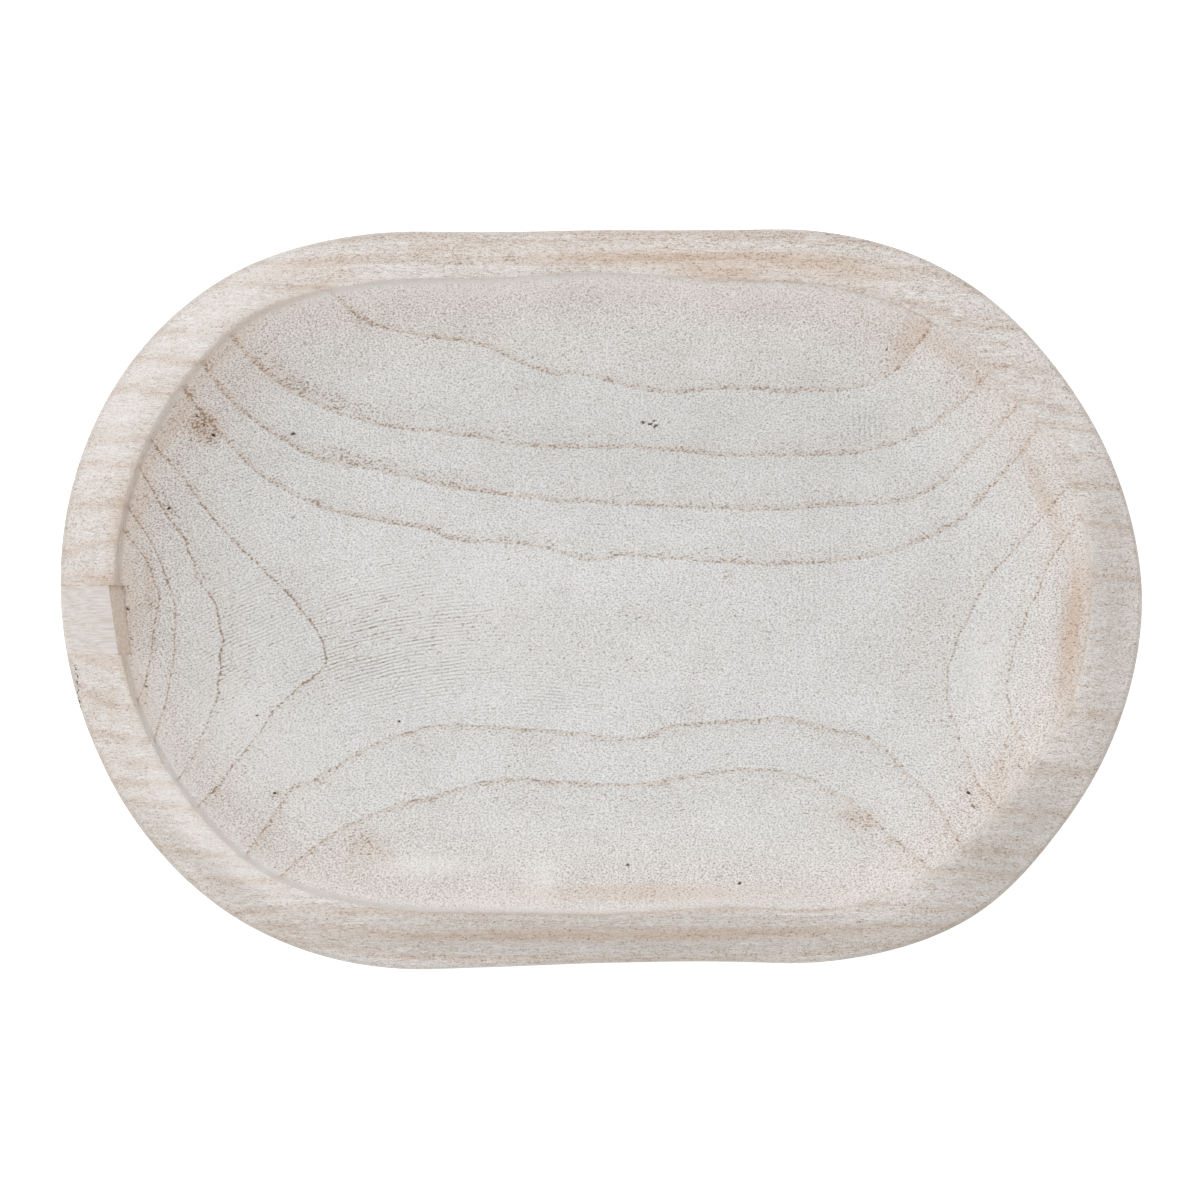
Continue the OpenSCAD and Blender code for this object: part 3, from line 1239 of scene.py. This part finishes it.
    # How much each layer adds to the chance of a pore, which chances give one, and how strong it is
    pore_chances: tuple[tuple[str, float], ...] = (
        ("line", 0.02), ("thin_line", 0.08), ("halo", 0.095), ("crowd", 0.09), ("hatching", 0.09),
        ("tan", 0.05), ("worn", 0.08), ("chain", 0.10), ("porous", 0.12), ("smooth_rim", -0.03),
    )
    pore_levels: tuple[float, float] = (0.67, 0.77)
    pore_share: float = 0.70
    # How much each layer tears the lime
    tears: tuple[tuple[str, float], ...] = (
        ("mottled", 0.06), ("worm", 1.0), ("hair", 1.0), ("grit", 0.60), ("groove", 0.08),
        ("streak_rim", 0.08), ("hatching", 0.44), ("chattering", 0.2), ("rim_line", 0.10),
    )
    # The colours that lie over it in turn, and how much each layer brings out of them
    coats: tuple[tuple[str, tuple[tuple[str, float], ...]], ...] = (
        # Greyer lime, with painted shade on the bottom and right rim and, as a thin darker line, on the outer
        # eased edge
        ("grey", (("dull", 0.5), ("edge", 0.2))),
        # Thicker lime, and painted light on the steep lips and on lips round the left end
        ("thick", (("white", 0.5), ("limed_wall", 1.0))),
        # Painted shade under the left lip, and scuffing on the right lip
        ("scuffed", (("worn", 0.14),)),
        # Bare wood, and through the tan daubs painted shade along the left lip
        ("bare", (("streak_rim", 0.05), ("halo", 0.18), ("thin_line", 0.08), ("rim_line", 0.06),
                  ("band", 0.06), ("tan", 0.46), ("porous", 0.10), ("chain", 0.08), ("smooth_rim", 0.05))),
    )
    # How high each layer stands, in mm, on top of the torn peel
    reliefs: tuple[tuple[str, float], ...] = (
        ("fibre", 0.12), ("hatching", -0.12), ("chattering", -0.10), ("open_pore", -0.10),
    )
    # One pixel of the photograph, in mm, on the floor of the hollow
    pixel: float = 0.47
    # The pits and chains lie anywhere from the floor to the rim, and are placed as if all at this height
    spot_height: float = 44.0
    pits: tuple[Pit, ...] = (
        Pit((644, 421), (2.8, 1.4), 5),
        Pit((650, 423), (2.7, 1.5), 10),
        Pit((656, 425), (3.2, 1.5), -10),
        Pit((655, 420), (1.7, 1.0), -20),
        Pit((214, 435), (2.6, 1.6), 20),
        Pit((205, 425), (1.8, 1.2), 40),
        Pit((199, 417), (1.5, 1.0), 70),
        Pit((209, 442), (1.6, 1.0), 0),
        Pit((192, 440), (1.2, 1.0), 0),
        Pit((292, 433), (2.5, 1.8), 40),
        Pit((170, 508), (1.6, 1.1), 50),
        Pit((298, 326), (1.0, 0.8), 0),
        Pit((632, 328), (1.8, 0.9), 0),
        Pit((887, 349), (2.2, 1.3), -50),
        Pit((132, 609), (2.2, 0.9), 60),
        Pit((150, 686), (1.5, 1.1), 0),
        Pit((256, 716), (1.5, 1.1), 0),
        Pit((275, 793), (1.8, 1.2), -40),
        Pit((508, 768), (1.3, 0.9), 0),
        Pit((397, 722), (1.3, 0.9), 0),
        Pit((628, 865), (2.4, 1.1), 10),
        Pit((739, 882), (2.2, 1.0), -10),
        Pit((967, 792), (2.4, 1.2), 30),
        Pit((971, 805), (1.6, 1.0), 30),
        Pit((83, 667), (0.7, 2.8), -20),
        Pit((84, 675), (0.7, 3.2), -10),
        Pit((85, 682), (0.7, 3.4), -25),
        Pit((85, 690), (0.7, 3.6), 15),
        Pit((86, 699), (0.7, 3.6), -20),
        Pit((87, 706), (0.7, 2.4), -5),
    )
    # Chains and clusters of open pores
    chains: tuple[Pit, ...] = (
        Pit((1004, 745), (3.0, 8.0), 25),
        Pit((999, 766), (3.0, 13.0), 12),
        Pit((1021, 769), (16.0, 2.0), 42),
        Pit((965, 790), (8.0, 4.5), 30),
        Pit((972, 803), (3.5, 8.0), -10),
        Pit((963, 812), (6.0, 3.5), 0),
        Pit((201, 424), (11.0, 15.0), -25),
        Pit((213, 440), (7.0, 5.0), 20),
        Pit((171, 509), (10.0, 3.0), 40),
        Pit((132, 610), (4.0, 6.0), -30),
        Pit((134, 635), (4.0, 14.0), -6),
        Pit((152, 602), (4.0, 9.0), -20),
        Pit((728, 574), (4.5, 7.5), 0),
        Pit((218, 790), (4.0, 7.0), 0),
        Pit((276, 793), (9.0, 5.0), -20),
        Pit((99, 738), (2.4, 7.0), 0),
    )

    def make(self) -> bpy.types.Material:
        """Builds the material.

        Returns:
            The finished material.
        """
        material, place = self.start()
        tree = material.node_tree
        at = SimpleNamespace(place=place, **{
            name: add(tree, "ShaderNodeAttribute", out=2, attribute_name=name) for name in self.given})
        at.x, at.y, at.z = add(tree, "ShaderNodeSeparateXYZ", place).all()
        at.facing_x, _, at.facing_z = self.facing(tree)
        at.rim = 1.0 - at.hollow
        at.grain = self.grain(at)
        for name, lengths, detail in self.patterns:
            setattr(at, name, self.noise(at.grain, lengths, detail))
        for reading in self.readings:
            read = getattr(at, reading.source).read(reading.levels, reading.values, reading.kind)
            setattr(at, reading.name, read)
        at.smooth_rim = at.smooth_end * at.rim
        at.streak_rim = at.streaked * at.rim
        self.add_rings(at)
        self.add_tool_marks(at)
        self.add_pores(at)
        self.add_tears(at)
        self.close(self.colour(at), self.total(at, self.reliefs, at.peel * at.peel_depth))
        return material

    def grain(self, at: SimpleNamespace) -> Term:
        """Works out the place that the patterns are read at.

        Args:
            at: The layers that are known so far.

        Returns:
            The place in mm, sheared as the torn grain rises to the right, and drawn out down the hollow.
        """
        sheared = (on_bowl(self.rise_from)[0] - at.x).math("MAXIMUM", 0.0) * at.hollow
        drawn_out = at.hollow.read((0.0, 1.0), (1.0, self.lip_stretch))
        height = (at.z - BowlForm.height) * drawn_out
        return add(at.place.tree, "ShaderNodeCombineXYZ", at.x, sheared * self.rise + at.y, height)

    def add_rings(self, at: SimpleNamespace) -> None:
        """Adds the growth rings' layers: the year, made to wander as a real ring does, and its lines.

        Args:
            at: The layers that are known so far.
        """
        strayed = (at.wander - 0.5) * (2 * self.wander_reach) + (at.waver - 0.5) * (2 * self.waver_reach)
        year = strayed * at.pace + at.year
        past = year.math("FRACT")
        past_mm = past / at.pace
        to_next_mm = (1.0 - past) / at.pace
        before = to_next_mm.read((0.0, self.string_width / 2), FADE)

        # The tan bands in the hollow
        width = year.read(self.wide_years, (self.string_width, self.halo_width)) * at.swelled
        halo_after = (past_mm / width).read((self.halo_core, 1.0), FADE, "SMOOTHERSTEP")
        halo_all = halo_after.math("MAXIMUM", before)
        in_hollow = at.fading * at.hollow
        at.halo = halo_all * at.near_side * at.paler * in_hollow

        # The strings of pores in them, and the finer ones of the years nearer the pith
        string_after = past_mm.read((0.0, self.string_width), FADE, "SMOOTHSTEP")
        at.line = string_after.math("MAXIMUM", before) * in_hollow * at.broken
        at.thin_line = at.line * (year.read(self.thin_years, FADE) * at.left_side)

        # The softer lines on the rim, and the pores that crowd after each line
        nearest = past_mm.math("MINIMUM", to_next_mm)
        at.rim_line = nearest.read((0.0, self.rim_band_width), FADE, "SMOOTHSTEP") * at.swelled * at.rim
        at.band = past.read((0.0, self.crowded_share), FADE)
        at.crowd = at.band * at.breaks

    def add_tool_marks(self, at: SimpleNamespace) -> None:
        """Adds the gouge's hatching and chatter: fine ridges where it was drawn across the fibres.

        Args:
            at: The layers that are known so far.
        """
        tree = at.place.tree
        middle = (*on_bowl(self.hatch_middle, BowlForm.floor), 0.0)
        about = add(tree, self.PLACED, at.place, middle, None, (1.0, 1.0, FAR), vector_type="TEXTURE")
        away = add(tree, self.VECTOR, about, operation="LENGTH", out=1)
        arcs = ((at.wander * self.hatch_warp + away) * (math.tau / self.hatch_spacing)).math("SINE")
        at.hatch_here = at.hatch * at.combed
        at.hatching = arcs.read(self.hatch_levels) * at.hatch_here
        ridges = ((at.wander * self.chatter_warp + at.x) * (math.tau / self.chatter_spacing)).math("SINE")
        at.chattering = ridges.read(self.chatter_levels) * at.chatter

    def add_pores(self, at: SimpleNamespace) -> None:
        """Adds the pores, small torn specks along and past each line, and the pits and chains of them.

        Args:
            at: The layers that are known so far.
        """
        tree = at.place.tree
        offset = add(tree, "ShaderNodeCombineXYZ", at.peel, at.speck, 0.0)
        ragged = add(tree, self.VECTOR, offset, (self.ragged, self.ragged, 0.0), at.place,
                     operation="MULTIPLY_ADD")
        at.chain = self.spots(ragged, self.chains, self.chain_levels) * at.top
        at.pit = self.spots(ragged, self.pits, self.pit_levels) * at.top
        at.open_pore = self.total(at, self.pore_chances, at.speck).read(self.pore_levels)

    def add_tears(self, at: SimpleNamespace) -> None:
        """Adds the torn fibres and the open pores between the lines.

        Args:
            at: The layers that are known so far.
        """
        outlines = [(pattern - 0.5).math("ABSOLUTE").read((0.0, self.outline_reach), FADE)
                    for pattern in (at.peel, at.fibre)]
        to_pore = add(at.place.tree, self.CELLS, self.sized(at.grain, self.grit_spacing), None, 1.0,
                      voronoi_dimensions="2D")
        kept = at.hatch_here.read((0.0, 1.0), (1.0, self.hatch_leaves))
        at.grit = to_pore.read(self.grit_levels, FADE) * (at.grit_share * at.hollow) * kept
        torn_rim = at.torn_streak * at.smoothed
        at.worm = outlines[0] * (at.hollow.read((0.0, 1.0), (torn_rim, at.torn_share)) * kept)
        at.hair = outlines[1] * at.hollow.read((0.0, 1.0), (at.hair_rim, self.hair_hollow))
        at.groove = at.grooved * at.rim
        # Painted light that lifts the steep lip out of its shade
        at.limed_wall = at.steep * at.limed_side * at.hollow

    def colour(self, at: SimpleNamespace) -> Term:
        """Lays the colours: lime, thinner where it is torn and where the tones let the wood through.

        Args:
            at: All the layers.

        Returns:
            The surface's colour.
        """
        lime, torn = (at.rim.mix(at.wall.mix(floor, wall), rim)
                      for floor, wall, rim in (self.lime, self.torn))
        tone = self.total(at, self.tears).math("MULTIPLY", 1.0, clamp=True).mix(lime, torn)
        for name, layers in self.coats:
            tone = self.total(at, layers).math("MULTIPLY", 1.0, clamp=True).mix(tone, getattr(self, name))
        return at.pit.mix((at.open_pore * self.pore_share).mix(tone, self.pore), self.dark)

    @staticmethod
    def total(at: SimpleNamespace, shares: tuple[tuple[str, float], ...], start: Any = 0.0) -> Term:
        """Adds up shares of some layers.

        Args:
            at: The layers.
            shares: Each layer's name, and how much of it to add.
            start: What to add them to.

        Returns:
            The total.
        """
        return sum((getattr(at, name) * share for name, share in shares), start)

    def spots(self, place: Term, marks: tuple[Pit, ...], levels: tuple[float, float]) -> Term:
        """Draws some spots where the photograph shows them.

        Args:
            place: The place in mm, with its ragged offset.
            marks: The spots.
            levels: How far out each starts and ends to fade, as shares of its half sizes.

        Returns:
            One inside the spots, nothing outside.
        """
        nearest = None
        for mark in marks:
            x, y = on_bowl(mark.middle, self.spot_height)
            half = (mark.half[0] * self.pixel, mark.half[1] * self.pixel, FAR)
            own = add(place.tree, self.PLACED, place, (x + self.ragged / 2, y + self.ragged / 2, 0.0),
                      (0.0, 0.0, math.radians(-mark.turn)), half, vector_type="TEXTURE")
            off = add(place.tree, self.VECTOR, own, operation="LENGTH", out=1)
            nearest = nearest.math("MINIMUM", off) if nearest else off
        return nearest.read(levels, FADE)


@dataclass(frozen=True)
class PatchWood(Finish):
    """Limed paulownia let in by hand and planed: clear wood with a fine straight grain and no rings, its
    inner face darkened partly as painted shade.
    """

    name: str = "limed_paulownia_inlay"
    lime: str = "#E6E3E2"
    bare: str = "#C3B3A8"
    face_shade_and_stain: str = "#CAB5A1"
    roughness: float = 0.85
    specular: float = 0.2
    # Sizes in mm along the grain, across it and upwards, and the patterns' detail
    fibre_size: tuple[float, float, float] = (26.0, 0.9, 0.9)
    fine_size: tuple[float, float, float] = (7.0, 0.5, 0.5)
    flecks_per_mm: float = 0.8
    detail: float = 3.0
    # How much bare wood the fibres and the fine grain show, and how high the grain stands, in mm
    streak_levels: tuple[float, float] = (0.35, 0.7)
    streak_share: float = 0.5
    fine_share: float = 0.5
    fine_height: float = 0.12
    # How the end grain's darker tone and painted shade on the inner face come in as it faces into the hollow,
    # and how its flecks vary
    lean_levels: tuple[float, float] = (0.35, 0.8)
    fleck_levels: tuple[float, float] = (0.4, 0.6)
    fleck_shares: tuple[float, float] = (0.2, 1.0)

    def make(self) -> bpy.types.Material:
        """Builds the material.

        Returns:
            The finished material.
        """
        material, place = self.start()
        fibre = self.noise(place, self.fibre_size, self.detail)
        fine = self.noise(place, self.fine_size, self.detail)
        streak = fibre.read(self.streak_levels, (0.0, self.streak_share))
        limed = (fine * self.fine_share).math("ADD", streak, clamp=True).mix(self.lime, self.bare)
        flecks = add(place.tree, self.NOISE, place, None, self.flecks_per_mm, 1.0)
        flecked = flecks.read(self.fleck_levels, self.fleck_shares)
        # Painted shade on the inner face, with the end grain's darker tone
        inwards = self.facing(place.tree)[0].read(self.lean_levels, (0.0, flecked))
        self.close(inwards.mix(limed, self.face_shade_and_stain), fine * self.fine_height)
        return material


@dataclass(frozen=True)
class Glue(Finish):
    """Hide glue squeezed thin in a joint: tan, and a little smoother than the wood."""

    name: str = "hide_glue"
    thick: str = "#BCA28A"
    thin: str = "#DCD2C8"
    roughness: float = 0.6
    specular: float = 0.5
    # How many of its uneven patches there are to a mm, their detail, the levels between which it thins, and
    # how high it stands, in mm
    patches_per_mm: float = 0.35
    detail: float = 3.0
    thin_levels: tuple[float, float] = (0.35, 0.65)
    height: float = 0.1

    def make(self) -> bpy.types.Material:
        """Builds the material.

        Returns:
            The finished material.
        """
        material, place = self.start()
        level = add(place.tree, self.NOISE, place, None, self.patches_per_mm, self.detail)
        self.close(level.read(self.thin_levels).mix(self.thick, self.thin), level * self.height)
        return material


@dataclass
class Bowl:
    """The bowl's three pieces, cut from one carved form, with their tones and finishes."""

    form: BowlForm = field(default_factory=BowlForm)
    rings: GrowthRings = field(default_factory=GrowthRings)
    tones: Tones = field(default_factory=Tones)
    wood: LimedWood = field(default_factory=LimedWood)
    inlay: PatchWood = field(default_factory=PatchWood)
    glue: Glue = field(default_factory=Glue)
    # How the years' pace is worked out: the shortest edge that counts, in mm, how often each point is
    # evened out with those next to it, and the slowest and fastest pace, in years to a mm
    shortest_edge: float = 0.05
    evenings: int = 3
    pace_limits: tuple[float, float] = (0.008, 0.3)

    def build(self) -> None:
        """Makes the body, the let-in block and its glue, and hands them to the frame."""
        wood, inlay, glue = self.wood.make(), self.inlay.make(), self.glue.make()
        whole = self.form.shaped(wood)
        seat = self.form.housing(self.form.glue)
        block = self.form.housing(0.0)
        face = self.form.outside_block_face()
        body = self.form.cut(whole, "carved_body", ("DIFFERENCE", seat))
        patch = self.form.cut(whole, "let_in_block", ("INTERSECT", block), ("INTERSECT", face))
        film = self.form.cut(whole, "glue_film", ("INTERSECT", seat), ("INTERSECT", face),
                             ("DIFFERENCE", block))
        for piece, material, node, slot in ((body, wood, "bowl_body", "limed_wood"),
                                            (patch, inlay, "rim_patch", "patch_wood"),
                                            (film, glue, "glue_line", "glue")):
            self.mark(piece, whole)
            piece.data.set_sharp_from_angle(angle=math.radians(self.form.crisp))
            piece.data.materials.clear()
            piece.data.materials.append(material)
            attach(piece, "root")
            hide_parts(node)
            log.info("%s: %d faces", piece.name, len(piece.data.polygons))

    def mark(self, piece: bpy.types.Object, whole: bpy.types.Object) -> None:
        """Gives a piece's points their year and tones.

        Args:
            piece: The piece.
            whole: The carved form that it was cut from, whose points know their section.
        """
        surface = self.places(whole)
        section = np.empty(len(surface), dtype=np.int32)
        whole.data.attributes["section"].data.foreach_get("value", section)
        share = np.empty(len(surface), dtype=np.float32)
        whole.data.attributes["share"].data.foreach_get("value", share)
        tree = finder(surface)
        points = self.places(piece)
        near = np.array([tree.find(place)[1] for place in points])
        part, along = section[near], share[near]
        in_hollow = part == Section.HOLLOW.value
        seen = part >= Section.OUTER_EDGE.value
        rim_year, hollow_year = (self.rings.years(surface[section == place.value], points, hollow)
                                 for place, hollow in ((Section.RIM_FACE, False), (Section.HOLLOW, True)))
        reach = self.form.half_width - self.form.rim_width
        inside = along ** self.form.crowding * reach * in_hollow
        year = rim_year + (hollow_year - rim_year) * np.clip(inside / self.rings.blend, 0, 1)
        in_share = np.clip(inside / self.tones.soft_edge, 0, 1)
        scale = photo_scale(points[:, 2])
        pixels = (PHOTO_MIDDLE[0] + points[:, 0] / scale, PHOTO_MIDDLE[1] - points[:, 1] / scale)
        values = {
            "year": year,
            "pace": self.pace(piece, points, year),
            "hollow": in_share,
            # On the bottom and right rim the dull tone is partly painted shade
            "dull": seen * ((1 - in_share) * self.tones.total("dull_rim", pixels)
                            + in_share * self.tones.total("dull_hollow", pixels)),
            # Along the left lip these tones are partly painted shade, and round the left end the white one is
            # partly painted light
            **{name: seen * self.tones.total(name, pixels) for name in ("tan", "worn", "white")},
            **{name: in_hollow * self.tones.total(name, pixels) for name in ("porous", "hatch", "chatter")},
            "edge": (part == Section.OUTER_EDGE.value).astype(float),
            "top": seen.astype(float),
        }
        for name, value in values.items():
            if name in piece.data.attributes:
                piece.data.attributes.remove(piece.data.attributes[name])
            layer = piece.data.attributes.new(name, "FLOAT", "POINT")
            layer.data.foreach_set("value", value.astype(np.float32))

    def pace(self, piece: bpy.types.Object, points: np.ndarray, year: np.ndarray) -> np.ndarray:
        """Works out how fast the years pass across a piece's surface.

        Args:
            piece: The piece.
            points: Its points, in mm.
            year: The year at each point.

        Returns:
            The years that pass in a millimetre at each point.
        """
        ends = np.empty(len(piece.data.edges) * 2, dtype=np.int32)
        piece.data.edges.foreach_get("vertices", ends)
        first, last = ends.reshape(-1, 2).T
        length = np.maximum(np.linalg.norm(points[first] - points[last], axis=1), self.shortest_edge)
        steep = ((year[first] - year[last]) / length) ** 2
        count = np.bincount(first, minlength=len(points)) + np.bincount(last, minlength=len(points))
        for _ in range(self.evenings):
            total = np.bincount(first, steep, len(points)) + np.bincount(last, steep, len(points))
            mean = total / np.maximum(count, 1)
            steep = (mean[first] + mean[last]) / 2
        # Edges run every way, so their squared slopes average half of the square of the true one
        return np.clip(np.sqrt(2 * mean), *self.pace_limits)

    @staticmethod
    def places(piece: bpy.types.Object) -> np.ndarray:
        """Reads a piece's points.

        Args:
            piece: The piece.

        Returns:
            Their places, in mm.
        """
        flat = np.empty(len(piece.data.vertices) * 3, dtype=np.float32)
        piece.data.vertices.foreach_get("co", flat)
        return flat.reshape(-1, 3).astype(float) / MM


@dataclass
class Studio:
    """A pale floor, soft light from the upper left, and the camera straight above."""

    camera_place: tuple[float, float, float] = (-0.46, -0.69, CAMERA_HEIGHT)
    # The camera's lens and film in mm, and how far it sees in metres
    lens: float = 189.3
    sensor: float = 36.0
    sight: float = 50.0
    floor_half: float = 4000.0
    floor_colour: str = "#F2F2F2"
    white: tuple[float, float, float, float] = (1.0, 1.0, 1.0, 1.0)
    # How much brighter than it is the floor looks to the camera
    glow: float = 0.5
    # The sky's light straight above and at the horizon
    sky_above: float = 0.525
    sky_low: float = 1.38
    lamp_watts: float = 20.0
    lamp_size: float = 1800.0
    lamp_place: tuple[float, float, float] = (-1500.0, 650.0, 2500.0)

    def build(self) -> None:
        """Sets the camera, the floor, the lamp and the world."""
        scene = bpy.context.scene
        scene.view_settings.view_transform = "Standard"
        camera = bpy.data.objects.new("camera", bpy.data.cameras.new("camera"))
        camera.data.lens = self.lens
        camera.data.sensor_width = self.sensor
        camera.data.clip_end = self.sight
        camera.location = Vector(self.camera_place) * MM
        scene.collection.objects.link(camera)
        scene.camera = camera
        self.floor()
        self.lamp()
        self.world()

    def floor(self) -> None:
        """Lays the floor, which the camera sees as white and which keeps the bowl's shadow."""
        work = bmesh.new()
        bmesh.ops.create_grid(work, x_segments=1, y_segments=1, size=self.floor_half * MM)
        mesh = bpy.data.meshes.new("floor")
        work.to_mesh(mesh)
        work.free()
        floor = bpy.data.objects.new("floor", mesh)
        material = bpy.data.materials.new("seamless_paper")
        material.use_nodes = True
        tree = material.node_tree
        tree.nodes.clear()
        matt = add(tree, "ShaderNodeBsdfDiffuse", linear(self.floor_colour))
        bright = add(tree, "ShaderNodeEmission", self.white, self.glow)
        both = add(tree, "ShaderNodeAddShader", matt, bright)
        shown = add(tree, "ShaderNodeMixShader", self.looked_at(tree), matt, both)
        add(tree, "ShaderNodeOutputMaterial", shown)
        mesh.materials.append(material)
        bpy.context.scene.collection.objects.link(floor)

    def lamp(self) -> None:
        """Hangs one large soft lamp to the upper left."""
        data = bpy.data.lights.new("softbox", "AREA")
        data.shape = "SQUARE"
        data.size = self.lamp_size * MM
        data.energy = self.lamp_watts
        lamp = bpy.data.objects.new("softbox", data)
        lamp.location = Vector(self.lamp_place) * MM
        lamp.rotation_euler = (-lamp.location).to_track_quat("-Z", "Y").to_euler()
        bpy.context.scene.collection.objects.link(lamp)

    def world(self) -> None:
        """Lights everything evenly, and looks white to the camera and in reflections."""
        world = bpy.data.worlds.new("studio")
        world.use_nodes = True
        tree = world.node_tree
        tree.nodes.clear()
        direction = add(tree, "ShaderNodeTexCoord", out=0)
        height = add(tree, "ShaderNodeSeparateXYZ", direction, out=2)
        sky = height.read((0.0, 1.0), (self.sky_low, self.sky_above))
        strength = self.looked_at(tree).read((0.0, 1.0), (sky, 1.0))
        add(tree, "ShaderNodeOutputWorld", add(tree, "ShaderNodeBackground", self.white, strength))
        bpy.context.scene.world = world

    @staticmethod
    def looked_at(tree: bpy.types.NodeTree) -> Term:
        """Finds the rays that look at a thing straight on, in a reflection or through glass.

        Args:
            tree: The tree of the thing's finish.

        Returns:
            One for those rays, nothing for the light that it gives off.
        """
        rays = {ray.socket.name: ray for ray in add(tree, "ShaderNodeLightPath").all()}
        direct = rays["Is Camera Ray"].math("MAXIMUM", rays["Is Glossy Ray"])
        return direct.math("MAXIMUM", rays["Is Transmission Ray"])


def main() -> None:
    """Builds the studio and the bowl, and writes how large they came out."""
    logging.basicConfig(level=logging.INFO, format="%(message)s")
    Studio().build()
    Bowl().build()


if __name__ == "__main__":
    main()
